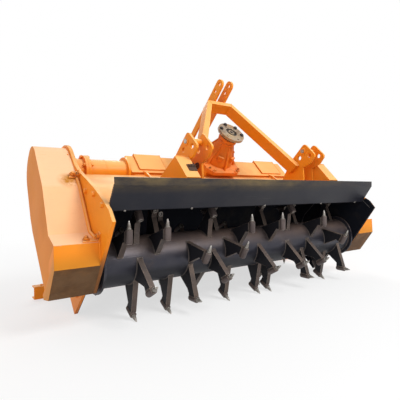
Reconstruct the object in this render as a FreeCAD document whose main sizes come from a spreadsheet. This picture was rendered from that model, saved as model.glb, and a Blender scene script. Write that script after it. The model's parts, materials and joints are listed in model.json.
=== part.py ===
import FreeCAD, Part
import math
import os

import Sketcher
from FreeCAD import Placement, Rotation, Vector

# Tractor-mounted soil mixer, parked nose-up on its rotor picks and the rear corners of its
# side plates.  Everything is drawn in the machine's own level frame: the rotor axis is the
# X axis, -Y points to the tractor and +Z is up.  Every sub-part then gets the same placement,
# which leans the machine back by the parking tilt and lifts it onto the floor.

SIZES = {
    # stance
    "parking_tilt": 45,
    # rotor
    "drum_radius": 128,
    "drum_wall": 14,
    "tip_radius": 325,
    "pick_rows": 12,
    "slot_pitch": 52.5,
    "slot_count": 36,
    "ring_radius": 155,
    "ring_thickness": 12,
    "stub_radius": 38,
    "running_gap": 0.3,
    "end_gap": 8,
    "arm_thickness": 30,
    "arm_root_width": 124,
    "arm_top_lag": 84,
    "holder_radius": 18.5,
    "holder_length": 66,
    "tip_length": 40,
    "tip_base_radius": 12.5,
    "tip_point_radius": 4,
    "pick_lean": 45,
    # body
    "body_half_width": 1040,
    "side_plate": 20,
    "hood_sheet": 8,
    "side_bottom": 62,
    "nose_clear": 72,
    "side_rear_top": 425,
    "hood_clear": 34,
    "hood_front_top": 205,
    "deflector_fold_out": 495,
    "deflector_fold_up": 66,
    "deflector_lip_out": 520,
    "deflector_lip_up": 91,
    "deflector_root_up": 36,
    "deflector_sheet": 8,
    # cross shaft and beam
    "shaft_ahead": 71,
    "shaft_up": 610,
    "lobe_radius": 150,
    "tube_radius": 75,
    "tube_bore": 62,
    "tube_flange_radius": 97,
    "tube_flange_thickness": 16,
    "tube_outer_end": 928,
    "beam_left_end": 664,
    "beam_right_end": 735,
    "beam_half": 77,
    "beam_wall": 8,
    "rail_clearance": 8,
    "rail_half": 52,
    "collar_left_inner": 416,
    "collar_left_outer": 605,
    "collar_right_inner": 457,
    "collar_right_outer": 668,
    "collar_wall": 10,
    # drive case and skids
    "skid_width": 208,
    "skid_front": 221,
    "skid_front_up": -31,
    "skid_crease_out": 151,
    "skid_crease_down": 112,
    "skid_top_down": 70,
    "skid_sole_back": 35,
    "skid_sole_down": 147,
    "skid_tail": 110,
    "skid_wall": 8,
    "case_wall": 8,
    "case_top_radius": 129,
    "case_bulge_front": 217,
    "case_bulge_up": 381,
    "case_foot_front": 125,
    "case_rear": 118,
    "case_foot_rear": 62,
    "case_draft": 34,
    # lower hitch
    "hitch_half_spacing": 482.5,
    "hitch_half_gap": 43,
    "hitch_plate": 14,
    "hitch_hole_radius": 14.5,
    "hitch_hole_ahead": 566,
    "hitch_hole_up": 292,
    "hitch_low_ahead": 498,
    "hitch_low_up": 340,
    "hitch_pin_ahead": 549,
    "hitch_pin_up": 353,
    "hitch_pin_radius": 13,
    "hitch_front": 603,
    "hitch_top": 382,
    "hitch_chin": 250,
    # top hitch and mast
    "top_half_gap": 34,
    "top_plate": 16,
    "top_hole_radius": 13,
    "top_hole_ahead": 639,
    "top_hole_up": 911,
    "top_second_ahead": 579,
    "top_second_up": 916,
    "top_nose_radius": 34,
    "mast_top_up": 874,
    "mast_top_ahead": 530,
    "mast_foot_up": 300,
    "mast_foot_ahead": 462,
    "mast_shoulder": 104,
    "mast_bar": 32,
    "mast_depth": 80,
    "top_bar_depth": 45,
    "brace_width": 60,
    # gearbox
    "gearbox_foot_half": 128,
    "gearbox_foot_plate": 50,
    "gearbox_base_half": 146,
    "gearbox_base_plate": 26,
    "gearbox_root_radius": 118,
    "gearbox_neck_radius": 58,
    "gearbox_neck_front": 416,
    "gearbox_waist_front": 372,
    "gearbox_ring_radius": 66,
    "input_rise": 14,
    "input_radius": 96,
    "input_face": 458,
    "input_thickness": 18,
    "input_hub_radius": 34,
    "input_pocket_radius": 40,
    "input_bolt_circle": 78,
    "input_bolt_radius": 6.5,
    # rear door
    "door_hinge_off": 20,
    "door_hinge_rise": 33,
    "door_sheet": 8,
    "door_pin_radius": 12,
    "door_lug": 34,
    "door_knuckle_radius": 22,
    "door_knuckle_length": 120,
    "door_knuckle_inset": 620,
    "door_setback": 8,
    "door_sheet_drop": 46,
    "door_half_width": 1000,
    "door_ground_gap": 12,
    "door_bar_height": 78,
    "door_bar_depth": 60,
    "door_bar_half_length": 1170,
}

ROW_SLOTS = (
    (3, 11, 18, 24, 32),
    (7, 14, 28),
    (5, 13, 21, 27, 35),
    (2, 11, 24),
    (0, 4, 15, 20, 28),
    (8, 13, 31),
    (2, 11, 18, 23, 27),
    (8, 26, 34),
    (2, 6, 14, 19, 21, 32),
    (11, 22, 35),
    (0, 8, 17, 24, 30),
    (5, 19, 33),
)

doc = FreeCAD.newDocument("soil_mixer")
nodes = []


def make_sheet():
    sheet = doc.addObject("Spreadsheet::Sheet", "Sizes")
    for number, (alias, value) in enumerate(SIZES.items(), start=1):
        sheet.set(f"A{number}", alias)
        sheet.set(f"B{number}", str(value))
        sheet.setAlias(f"B{number}", alias)
    doc.recompute()
    return sheet


sizes = make_sheet()


def size(alias):
    """The number that the sheet holds under one alias."""
    return float(sizes.get(alias))


def bound(text):
    """An expression in which every alias points at the sheet."""
    words = []
    word = ""
    for letter in text + " ":
        if letter.isalnum() or letter == "_":
            word += letter
            continue
        words.append(f"Sizes.{word}" if word in SIZES else word)
        words.append(letter)
        word = ""
    return "".join(words).strip()


def value_of(text):
    """The number that such an expression gives."""
    result = sizes.evalExpression(bound(text))
    return float(getattr(result, "Value", result))


AXIS_UP = "((tip_radius - tip_point_radius) * cos(180 / pick_rows) + tip_point_radius)"
NOSE = "(tip_radius + nose_clear)"
HOOD_FRONT = "(tip_radius + hood_clear)"
SIDE_REAR = f"(({AXIS_UP} - side_bottom * cos(parking_tilt)) / sin(parking_tilt))"
INPUT_UP = "(shaft_up + input_rise)"
HOOD_PEAK = "(shaft_up - tube_flange_radius - rail_clearance)"
HINGE_BACK = f"({SIDE_REAR} + door_hinge_off)"
HINGE_UP = "(side_rear_top + door_hinge_rise)"
FRONT_REACH = f"({NOSE} * cos(parking_tilt) + (side_bottom - 2) * sin(parking_tilt))"
REAR_REACH = (
    f"({HINGE_BACK} * cos(parking_tilt) + {HINGE_UP} * sin(parking_tilt)"
    " - door_setback - door_sheet / 2 + door_bar_depth)"
)
MIDDLE = f"({FRONT_REACH} - {REAR_REACH}) / 2"


def park(node):
    """Lean a finished sub-part back with the whole machine, lift it and centre the whole."""
    base = Vector(0, value_of(MIDDLE), value_of(AXIS_UP))
    node.Placement = Placement(base, Rotation(Vector(-1, 0, 0), size("parking_tilt")))
    node.setExpression("Placement.Base.y", bound(MIDDLE))
    node.setExpression("Placement.Base.z", bound(AXIS_UP))
    node.setExpression("Placement.Rotation.Angle", bound("parking_tilt"))
    nodes.append(node)


def new_body(name):
    body = doc.addObject("PartDesign::Body", name)
    body.Label = name
    return body


def plane(body, role):
    return next(item for item in body.Origin.OriginFeatures if item.Role == role)


def new_sketch(body, role, shift=(), turn=None):
    """A sketch on one of the body's own planes; shift holds (axis, expression) pairs."""
    sketch = body.newObject("Sketcher::SketchObject", body.Name + "_sketch")
    sketch.AttachmentSupport = (plane(body, role), [""])
    sketch.MapMode = "FlatFace"
    if turn:
        axis, text = turn
        sketch.AttachmentOffset = Placement(Vector(), Rotation(Vector(*axis), value_of(text)))
        sketch.setExpression("AttachmentOffset.Rotation.Angle", bound(text))
    for axis, text in shift:
        sketch.setExpression(f"AttachmentOffset.Base.{axis}", bound(text))
    return sketch


def hold_point(sketch, geometry, point, across, up):
    """Two bound distances from the sketch's origin hold a point."""
    for kind, text in (("DistanceX", across), ("DistanceY", up)):
        rule = Sketcher.Constraint(kind, -1, 1, geometry, point, value_of(text))
        sketch.setExpression(f"Constraints[{sketch.addConstraint(rule)}]", bound(text))


def draw_outline(sketch, corners):
    """A closed outline of (across, up) expressions, one bound corner after another."""
    first = sketch.GeometryCount
    spots = [Vector(value_of(across), value_of(up), 0) for across, up in corners]
    for index, spot in enumerate(spots):
        sketch.addGeometry(Part.LineSegment(spot, spots[(index + 1) % len(spots)]), False)
    for index, (across, up) in enumerate(corners):
        following = first + (index + 1) % len(spots)
        sketch.addConstraint(Sketcher.Constraint("Coincident", first + index, 2, following, 1))
        hold_point(sketch, first + index, 1, across, up)


def draw_circle(sketch, across, up, radius):
    number = sketch.GeometryCount
    centre = Vector(value_of(across), value_of(up), 0)
    sketch.addGeometry(Part.Circle(centre, Vector(0, 0, 1), value_of(radius)), False)
    hold_point(sketch, number, 3, across, up)
    rule = Sketcher.Constraint("Radius", number, value_of(radius))
    sketch.setExpression(f"Constraints[{sketch.addConstraint(rule)}]", bound(radius))


def pad(body, sketch, length, backwards=False):
    feature = body.newObject("PartDesign::Pad", body.Name + "_pad")
    feature.Profile = sketch
    feature.setExpression("Length", bound(length))
    feature.Reversed = backwards
    doc.recompute()
    return feature


def spin(body, sketch, cutting=False):
    """Turn a sketched profile about the sketch's own horizontal axis."""
    kind = "PartDesign::Groove" if cutting else "PartDesign::Revolution"
    feature = body.newObject(kind, body.Name + "_turned")
    feature.Profile = sketch
    feature.ReferenceAxis = (sketch, ["H_Axis"])
    feature.Angle = 360
    doc.recompute()
    return feature


def cut_through(body, sketch):
    before = body.Shape.Volume
    feature = body.newObject("PartDesign::Pocket", body.Name + "_pocket")
    feature.Profile = sketch
    feature.Type = "ThroughAll"
    feature.Midplane = True
    doc.recompute()
    if body.Shape.Volume > before - 1:
        raise ValueError(f"{body.Label}: a cut missed the metal")


def drill(body, holes):
    """Bores along X through the body, as (y, z, radius) expressions."""
    sketch = new_sketch(body, "YZ_Plane")
    for across, up, radius in holes:
        draw_circle(sketch, across, up, radius)
    cut_through(body, sketch)


def round_corners(body, corners, radius):
    """Fillet the edges along X that stand at the given (y, z) corners."""
    spots = [(value_of(across), value_of(up)) for across, up in corners]
    names = []
    for number, edge in enumerate(body.Tip.Shape.Edges, start=1):
        ends = [vertex.Point for vertex in edge.Vertexes]
        if len(ends) == 2 and abs(ends[0].x - ends[1].x) > 1:
            for across, up in spots:
                if all(math.hypot(end.y - across, end.z - up) < 1e-3 for end in ends):
                    names.append(f"Edge{number}")
    base = body.Tip
    feature = body.newObject("PartDesign::Fillet", body.Name + "_round")
    feature.Base = (base, names)
    feature.setExpression("Radius", bound(radius))
    doc.recompute()


def hollow_out(body, wall, is_open):
    """Leave an even wall inside a solid, open on every face for which is_open is true."""
    base = body.Tip
    faces = [f"Face{n}" for n, face in enumerate(base.Shape.Faces, start=1) if is_open(face)]
    feature = body.newObject("PartDesign::Thickness", body.Name + "_shell")
    feature.Base = (base, faces)
    feature.setExpression("Value", bound(wall))
    feature.Reversed = True
    feature.Join = "Intersection"
    doc.recompute()


def plate(name, start, thickness, corners, turn=None, shift=()):
    """A flat piece square to X, from start onwards, with a bound outline."""
    body = new_body(name)
    sketch = new_sketch(body, "YZ_Plane", (("z", start), *shift), turn)
    draw_outline(sketch, corners)
    pad(body, sketch, thickness)
    return body


def turned_across(name, profile, y="0", z="0"):
    """A turned piece about an axis along X; the profile is (x, radius) expressions."""
    body = new_body(name)
    sketch = new_sketch(body, "XY_Plane", (("y", y), ("z", z)))
    draw_outline(sketch, profile)
    spin(body, sketch)
    return body


def faces_along_x(face):
    return abs(face.normalAt(0, 0).x) > 0.99


# ---------------------------------------------------------------- body and its plates

INNER_FACE = "body_half_width - side_plate"

FRONT_EDGE = (
    (f"-{NOSE}", "-side_bottom + 2"),
    (f"-{NOSE} - 6", "5"),
    (f"-{NOSE} + 16", "90"),
    (f"-{NOSE} + 54", "202"),
    (f"-{NOSE} + 108", "325"),
)


def make_side_plate(name, start, upper):
    """One end wall of the mixing chamber: nose, curved front edge, upper part, square tail.

    Its lower edge slopes down to the skid's sole and back up to the tail."""
    corners = (
        (SIDE_REAR, "-side_bottom"), ("skid_sole_back + 25", "-side_bottom"),
        ("skid_sole_back", "-skid_sole_down"),
        (f"-{NOSE} + 6", "-side_bottom"), *FRONT_EDGE, *upper,
        (SIDE_REAR, "side_rear_top"),
    )
    body = plate(name, start, "side_plate", corners)
    round_corners(body, FRONT_EDGE[1:], "60")
    return body


def make_side_plates():
    lobe = (
        ("-shaft_ahead - lobe_radius - 18", "shaft_up - 175"),
        ("-shaft_ahead - lobe_radius", "shaft_up - 110"),
        ("-shaft_ahead - lobe_radius", "shaft_up + lobe_radius"),
        ("-shaft_ahead + lobe_radius", "shaft_up + lobe_radius"),
        ("-shaft_ahead + lobe_radius", f"{HOOD_PEAK} + 6"),
    )
    left = make_side_plate("side_plate_left", "-body_half_width", lobe)
    round_corners(left, lobe[2:4], "lobe_radius - 0.5")
    right = make_side_plate("side_plate_right", INNER_FACE, (
        ("-shaft_ahead - 130", f"{HOOD_PEAK} + 6"), ("-shaft_ahead + lobe_radius", f"{HOOD_PEAK} + 6"),
    ))
    bearing_hole = ("0", "0", "stub_radius + running_gap")
    drill(left, (bearing_hole, ("-shaft_ahead", "shaft_up", "tube_bore")))
    drill(right, (bearing_hole,))
    park(left)
    park(right)


HOOD_BACK = ("-shaft_ahead + beam_half + 90", HOOD_PEAK)


def on_hood_front(share):
    """A point on the hood's front slope, at a share of the way from its foot to the beam."""
    run = f"({HOOD_FRONT} - 22 - shaft_ahead - beam_half)"
    return (f"-{HOOD_FRONT} + 22 + {share} * {run}", f"hood_front_top + {share} * ({HOOD_PEAK} - hood_front_top)")


def make_hood():
    """The bent sheet over the rotor, between the side plates."""
    corners = (
        (f"-{HOOD_FRONT}", "deflector_root_up"),
        (f"-{HOOD_FRONT} + 22", "hood_front_top"),
        ("-shaft_ahead - beam_half", HOOD_PEAK),
        HOOD_BACK,
        (SIDE_REAR, "side_rear_top"),
        (f"{SIDE_REAR} - 12", "side_rear_top - 34"),
    )
    body = plate("hood_shell", f"-({INNER_FACE})", f"2 * ({INNER_FACE})", corners)
    start, end = (value_of(text) for text in (corners[0][0], corners[-1][0]))

    def is_open(face):
        centre = face.CenterOfMass
        inside = start < centre.y < end and centre.z < size("hood_front_top") + 60
        return faces_along_x(face) or (inside and abs(centre.y) < 60)

    hollow_out(body, "hood_sheet", is_open)
    park(body)


def make_deflector():
    """The dark front plate: it rises forwards from the hood's foot and ends in a lip."""
    root, fold, lip = (
        (f"-{HOOD_FRONT}", "deflector_root_up"),
        ("-deflector_fold_out", "deflector_fold_up"),
        ("-deflector_lip_out", "deflector_lip_up"),
    )
    back = ("deflector_sheet", "deflector_sheet")
    corners = (
        root, fold, lip,
        (f"{lip[0]} + {back[0]} * 0.6", f"{lip[1]} + {back[1]} * 0.9"),
        (f"{fold[0]} + 2", f"{fold[1]} + {back[1]}"),
        (f"{root[0]} + 1", f"{root[1]} + {back[1]}"),
    )
    park(plate("front_deflector", f"-({INNER_FACE})", f"2 * ({INNER_FACE})", corners))


# ---------------------------------------------------------------- skids and drive case

SKID_TOP = (
    ("skid_tail", "-skid_top_down"), ("-55", "-skid_top_down"),
    ("-105", "skid_front_up"), ("-skid_front", "skid_front_up"),
)


def make_skid(name, start):
    """The box that slides on the ground beside each side plate; its tail is open."""
    corners = (
        *SKID_TOP, ("-skid_crease_out", "-skid_crease_down"),
        ("skid_sole_back", "-skid_sole_down"), ("skid_tail", "-skid_top_down - 26"),
    )
    body = plate(name, start, "skid_width", corners)
    tail = size("skid_tail")
    hollow_out(body, "skid_wall", lambda face: abs(face.CenterOfMass.y - tail) < 1)
    park(body)


def make_drive_case():
    """The tall pan over the drive down to the rotor; its outer face leans in towards the top."""
    top = ("shaft_up + case_top_radius",)
    corners = (
        ("case_foot_rear", "-skid_top_down"), *SKID_TOP[1:],
        ("-case_foot_front - 40", "skid_front_up + 105"),
        ("-case_bulge_front", "case_bulge_up - 40"),
        ("-shaft_ahead - case_top_radius - 8", "case_bulge_up + 130"),
        ("-shaft_ahead - case_top_radius", *top),
        ("-shaft_ahead + case_top_radius", *top),
        ("case_rear", "case_bulge_up + 40"),
        ("case_rear", "case_bulge_up - 60"),
    )
    body = plate("drive_case", "-body_half_width - skid_width", "skid_width", corners)
    round_corners(body, corners[7:9], "case_top_radius - 0.5")
    round_corners(body, corners[5:7], "90")
    wedge = new_sketch(body, "XZ_Plane")
    draw_outline(wedge, (
        ("-body_half_width - skid_width", "-skid_top_down - 2"),
        ("-body_half_width - skid_width + case_draft", "shaft_up + case_top_radius + 20"),
        ("-body_half_width - skid_width - 20", "shaft_up + case_top_radius + 20"),
    ))
    cut_through(body, wedge)
    wall_side = size("body_half_width")
    hollow_out(body, "case_wall", lambda face: faces_along_x(face) and abs(face.CenterOfMass.x + wall_side) < 1)
    park(body)


# ---------------------------------------------------------------- cross shaft and beam

def make_cross_tube():
    beam_end = "-beam_left_end"
    flange_face = "-tube_outer_end"
    tube = turned_across("cross_tube", (
        (flange_face, "tube_bore"), (flange_face, "tube_flange_radius"),
        (f"{flange_face} + tube_flange_thickness", "tube_flange_radius"),
        (f"{flange_face} + tube_flange_thickness", "tube_radius"),
        (f"{beam_end} - tube_flange_thickness", "tube_radius"),
        (f"{beam_end} - tube_flange_thickness", "tube_flange_radius"),
        (beam_end, "tube_flange_radius"), (beam_end, "tube_bore"),
    ), "-shaft_ahead", "shaft_up")
    park(tube)
    sleeve = turned_across("shaft_sleeve", (
        (f"-({INNER_FACE})", "tube_bore"), (f"-({INNER_FACE})", "tube_radius + 8"),
        (f"{flange_face} - tube_flange_thickness - 14", "tube_radius"),
        (f"{flange_face} - tube_flange_thickness", "tube_radius"),
        (f"{flange_face} - tube_flange_thickness", "tube_flange_radius"),
        (flange_face, "tube_flange_radius"), (flange_face, "tube_bore"),
    ), "-shaft_ahead", "shaft_up")
    park(sleeve)


def square(half):
    return (
        (f"-shaft_ahead - {half}", f"shaft_up - {half}"), (f"-shaft_ahead + {half}", f"shaft_up - {half}"),
        (f"-shaft_ahead + {half}", f"shaft_up + {half}"), (f"-shaft_ahead - {half}", f"shaft_up + {half}"),
    )


def square_tube(name, start, length, outer, inner):
    body = new_body(name)
    sketch = new_sketch(body, "YZ_Plane", (("z", start),))
    draw_outline(sketch, square(outer))
    draw_outline(sketch, square(inner))
    pad(body, sketch, length)
    park(body)


def make_beam():
    square_tube("main_beam", "-beam_left_end", "beam_left_end + beam_right_end", "beam_half", "(beam_half - beam_wall)")
    park(plate("beam_cap", "beam_right_end", "beam_wall", square("(beam_half - 3)")))
    park(plate("beam_rail", "-beam_left_end + 6", "beam_left_end + beam_right_end - 12", (
        ("-shaft_ahead - rail_half", HOOD_PEAK), ("-shaft_ahead + rail_half", HOOD_PEAK),
        ("-shaft_ahead + rail_half", "shaft_up - beam_half"), ("-shaft_ahead - rail_half", "shaft_up - beam_half"),
    )))
    for side, start in (("left", "-collar_left_outer"), ("right", "collar_right_inner")):
        lid = (
            ("-shaft_ahead - beam_half - collar_wall", "shaft_up - beam_half + 20"),
            ("-shaft_ahead - beam_half - collar_wall", "shaft_up + beam_half + collar_wall"),
            ("-shaft_ahead + beam_half + collar_wall", "shaft_up + beam_half + collar_wall"),
            ("-shaft_ahead + beam_half + collar_wall", "shaft_up - beam_half + 20"),
            ("-shaft_ahead + beam_half", "shaft_up - beam_half + 20"),
            ("-shaft_ahead + beam_half", "shaft_up + beam_half"),
            ("-shaft_ahead - beam_half", "shaft_up + beam_half"),
            ("-shaft_ahead - beam_half", "shaft_up - beam_half + 20"),
        )
        park(plate(f"beam_collar_{side}", start, f"collar_{side}_outer - collar_{side}_inner", lid))


# ---------------------------------------------------------------- lower hitch

HITCH_CORNERS = (
    ("-hitch_front + 6", "hitch_top"), ("-hitch_front", "hitch_chin + 4"),
    ("-hitch_front + 72", "hitch_chin - 4"), ("-hitch_front + 132", "hitch_chin + 20"),
    (f"-{HOOD_FRONT} - 30", "hood_front_top - 30"), (f"-{HOOD_FRONT} + 16.5", "hood_front_top - 40"),
    on_hood_front(0), on_hood_front(0.44),
    ("-hitch_front + 176", "hitch_top"),
)


def make_lower_hitch():
    """Two pairs of plates with a fixed pin each; the wings stand outboard of them."""
    offsets = {
        "left_outer": "-hitch_half_spacing - hitch_half_gap - hitch_plate",
        "left_inner": "-hitch_half_spacing + hitch_half_gap",
        "right_inner": "hitch_half_spacing - hitch_half_gap - hitch_plate",
        "right_outer": "hitch_half_spacing + hitch_half_gap",
    }
    for side, start in offsets.items():
        body = plate(f"hitch_plate_{side}", start, "hitch_plate", HITCH_CORNERS)
        round_corners(body, HITCH_CORNERS[:3], "24")
        drill(body, (
            ("-hitch_hole_ahead", "hitch_hole_up", "hitch_hole_radius"),
            ("-hitch_low_ahead", "hitch_low_up", "hitch_hole_radius"),
            ("-hitch_pin_ahead", "hitch_pin_up", "hitch_pin_radius"),
        ))
        park(body)
    reach = "hitch_half_gap + hitch_plate + 8"
    for side, centre in (("left", "-hitch_half_spacing"), ("right", "hitch_half_spacing")):
        park(turned_across(f"hitch_pin_{side}", (
            (f"{centre} - ({reach})", "0"), (f"{centre} - ({reach})", "hitch_pin_radius"),
            (f"{centre} + {reach}", "hitch_pin_radius"), (f"{centre} + {reach}", "0"),
        ), "-hitch_pin_ahead", "hitch_pin_up"))


def make_wings():
    """Folded boxes that brace the lower hitch against the hood's front."""
    corners = (
        ("-hitch_front + 95", "hood_front_top - 95"), (f"-{HOOD_FRONT} + 10.5", "hood_front_top - 85"),
        on_hood_front(0), on_hood_front(0.38),
        ("-hitch_front + 95", "hood_front_top + 70"),
    )
    width = "102 - hitch_plate"
    outer = "hitch_half_spacing + hitch_half_gap + hitch_plate"
    for side, start in (("left", f"-({outer}) - ({width})"), ("right", outer)):
        park(plate(f"hitch_wing_{side}", start, width, corners))


# ---------------------------------------------------------------- mast and top link

MAST_LEAN = "atan((mast_top_ahead - mast_foot_ahead) / (mast_top_up - mast_foot_up))"
MAST_SLOPE = "(mast_top_ahead - mast_foot_ahead) / (mast_top_up - mast_foot_up)"
MAST_RISE = "sqrt((mast_top_ahead - mast_foot_ahead)^2 + (mast_top_up - mast_foot_up)^2)"


def make_mast():
    """The A-frame: two bars that lean in and forwards, joined by a short level bar."""
    body = new_body("mast_frame")
    sketch = new_sketch(
        body, "XZ_Plane", (("y", "mast_foot_up"), ("z", "mast_foot_ahead")), ((1, 0, 0), MAST_LEAN),
    )
    foot = "hitch_half_spacing - hitch_half_gap - hitch_plate"
    drop = "mast_bar * 1.1"
    draw_outline(sketch, (
        (f"-({foot})", "0"), (f"-({foot})", "mast_bar"), ("-mast_shoulder", MAST_RISE),
        ("mast_shoulder", MAST_RISE), (foot, "mast_bar"), (foot, "0"),
        (f"{foot} - mast_bar * 1.1", "0"), ("mast_shoulder - mast_bar * 0.6", f"{MAST_RISE} - {drop}"),
        ("-mast_shoulder + mast_bar * 0.6", f"{MAST_RISE} - {drop}"), (f"-({foot}) + mast_bar * 1.1", "0"),
    ))
    pad(body, sketch, "mast_depth", backwards=True)
    park(body)


def on_mast_top(back):
    """A point on the mast's sloping top face, some way behind its front edge."""
    return (f"-mast_top_ahead + {back}", f"mast_top_up + ({back}) * {MAST_SLOPE}")


def make_top_link():
    """Two long bars over the mast, drilled for the top link, each on a post behind."""
    nose = "top_nose_radius"
    top, rear = f"top_hole_up + {nose}", "-shaft_ahead + 30"
    corners = (
        ("-top_hole_ahead - top_nose_radius", f"top_hole_up - {nose}"),
        ("-top_hole_ahead - top_nose_radius", top), (rear, top), (rear, f"{top} - top_bar_depth"),
        ("-mast_top_ahead + mast_depth + 40", f"{top} - top_bar_depth"),
        on_mast_top("mast_depth + 6"), on_mast_top("0"),
    )
    post = (
        (f"{rear} - brace_width", "shaft_up + beam_half"), (rear, "shaft_up + beam_half"),
        (rear, f"{top} - 4"), (f"{rear} - brace_width", f"{top} - 4"),
    )
    for side, sign in (("left", "-"), ("right", "")):
        bar_start = f"{sign}top_half_gap" + (" - top_plate" if sign else "")
        post_start = f"-top_half_gap - 2 * top_plate" if sign else "top_half_gap + top_plate"
        body = plate(f"top_link_plate_{side}", bar_start, "top_plate", corners)
        round_corners(body, corners[:2], f"{nose} - 0.5")
        drill(body, (
            ("-top_hole_ahead", "top_hole_up", "top_hole_radius"),
            ("-top_second_ahead", "top_second_up", "top_hole_radius"),
        ))
        park(body)
        park(plate(f"mast_brace_{side}", post_start, "top_plate", post))


# ---------------------------------------------------------------- gearbox

FOOT_FACE = "-shaft_ahead - beam_half - gearbox_foot_plate"
BASE_FACE = f"{FOOT_FACE} - gearbox_base_plate"


def turned_ahead(name, profile):
    """A turned piece about the input axis; the profile is (y, radius) expressions."""
    body = new_body(name)
    sketch = new_sketch(body, "YZ_Plane", (("y", INPUT_UP),))
    draw_outline(sketch, profile)
    spin(body, sketch)
    return body


def make_gearbox():
    """A foot block on the beam, then the casting: square base, tapered case, neck and ring."""
    low, high = f"{HOOD_PEAK} + 4", "shaft_up + beam_half + 12"
    park(plate("gearbox_foot", "-gearbox_foot_half", "2 * gearbox_foot_half", (
        ("-shaft_ahead - beam_half", low), ("-shaft_ahead - beam_half", high), (FOOT_FACE, high), (FOOT_FACE, low),
    )))
    inner = "gearbox_neck_radius - 16"
    housing = turned_ahead("gearbox_housing", (
        (FOOT_FACE, "0"), (FOOT_FACE, "gearbox_root_radius"), (f"{BASE_FACE} - 22", "gearbox_root_radius - 4"),
        ("-gearbox_waist_front", "gearbox_neck_radius"),
        ("-gearbox_neck_front + 22", "gearbox_neck_radius"), ("-gearbox_neck_front + 22", "gearbox_ring_radius"),
        ("-gearbox_neck_front", "gearbox_ring_radius"), ("-gearbox_neck_front", inner),
        ("-gearbox_neck_front + 40", inner), ("-gearbox_neck_front + 40", "0"),
    ))
    base = new_sketch(housing, "XZ_Plane", (("z", f"-({FOOT_FACE})"),))
    bottom, edge = f"{INPUT_UP} - gearbox_base_half - 12", "gearbox_base_half"
    draw_outline(base, (
        (f"-{edge} + 40", bottom), (f"{edge} - 40", bottom), (edge, f"{bottom} + 40"),
        (edge, f"{bottom} + 190"), (f"{edge} - 40", f"{bottom} + 230"), (f"-{edge} + 40", f"{bottom} + 230"),
        (f"-{edge}", f"{bottom} + 190"), (f"-{edge}", f"{bottom} + 40"),
    ))
    pad(housing, base, "gearbox_base_plate")
    park(housing)


def make_input():
    """The companion flange that takes the drive shaft, on its stub in the gearbox neck."""
    hub_end = "-gearbox_neck_front + 40 - running_gap"
    back = "-input_face + input_thickness"
    body = turned_ahead("input_flange", (
        ("-input_face + 8", "0"), ("-input_face + 8", "input_pocket_radius"),
        ("-input_face", "input_pocket_radius"), ("-input_face", "input_radius"),
        (back, "input_radius"), (back, "input_hub_radius"), (hub_end, "input_hub_radius"), (hub_end, "0"),
    ))
    sketch = new_sketch(body, "XZ_Plane")
    for turn in range(6):
        angle = 39 + 60 * turn
        draw_circle(
            sketch, f"input_bolt_circle * cos({angle})", f"{INPUT_UP} + input_bolt_circle * sin({angle})",
            "input_bolt_radius",
        )
    cut_through(body, sketch)
    park(body)


# ---------------------------------------------------------------- rear door

HINGE = (("x", HINGE_BACK), ("y", HINGE_UP))
DOOR_FALL = (
    f"({AXIS_UP} + {HINGE_UP} * cos(parking_tilt)"
    f" - {HINGE_BACK} * sin(parking_tilt) - door_ground_gap)"
)


def door_plate(name, start, width, corners):
    return plate(name, start, width, corners, ((0, 0, 1), "parking_tilt"), HINGE)


def make_rear_door():
    """A flap that hangs plumb from the hood's rear edge, with a channel along its foot."""
    front, back = "-door_setback - door_sheet / 2", "-door_setback + door_sheet / 2"
    sheet_foot = f"-{DOOR_FALL} + door_bar_height"
    door = door_plate("rear_door", "-door_half_width", "2 * door_half_width", (
        (front, "-door_sheet_drop"), (back, "-door_sheet_drop"), (back, sheet_foot), (front, sheet_foot),
    ))
    for start in ("-door_knuckle_inset - door_knuckle_length", "door_knuckle_inset"):
        sketch = new_sketch(door, "YZ_Plane", (("z", start),))
        draw_circle(sketch, HINGE_BACK, HINGE_UP, "door_knuckle_radius")
        pad(door, sketch, "door_knuckle_length")
        strap = new_sketch(door, "YZ_Plane", (("z", start), *HINGE), ((0, 0, 1), "parking_tilt"))
        draw_outline(strap, (
            (front, "-door_knuckle_radius / 2"), (back, "-door_knuckle_radius / 2"),
            (back, "-door_sheet_drop - 20"), (front, "-door_sheet_drop - 20"),
        ))
        pad(door, strap, "door_knuckle_length")
    drill(door, ((HINGE_BACK, HINGE_UP, "door_pin_radius + running_gap"),))
    park(door)
    reach = "-door_setback - door_sheet / 2 + door_bar_depth"
    park(door_plate("door_bar", "-door_bar_half_length", "2 * door_bar_half_length", (
        (front, sheet_foot), (reach, sheet_foot), (reach, f"{sheet_foot} - door_sheet"),
        (back, f"{sheet_foot} - door_sheet"), (back, f"-{DOOR_FALL} + door_sheet"),
        (reach, f"-{DOOR_FALL} + door_sheet"), (reach, f"-{DOOR_FALL}"), (front, f"-{DOOR_FALL}"),
    )))


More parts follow.
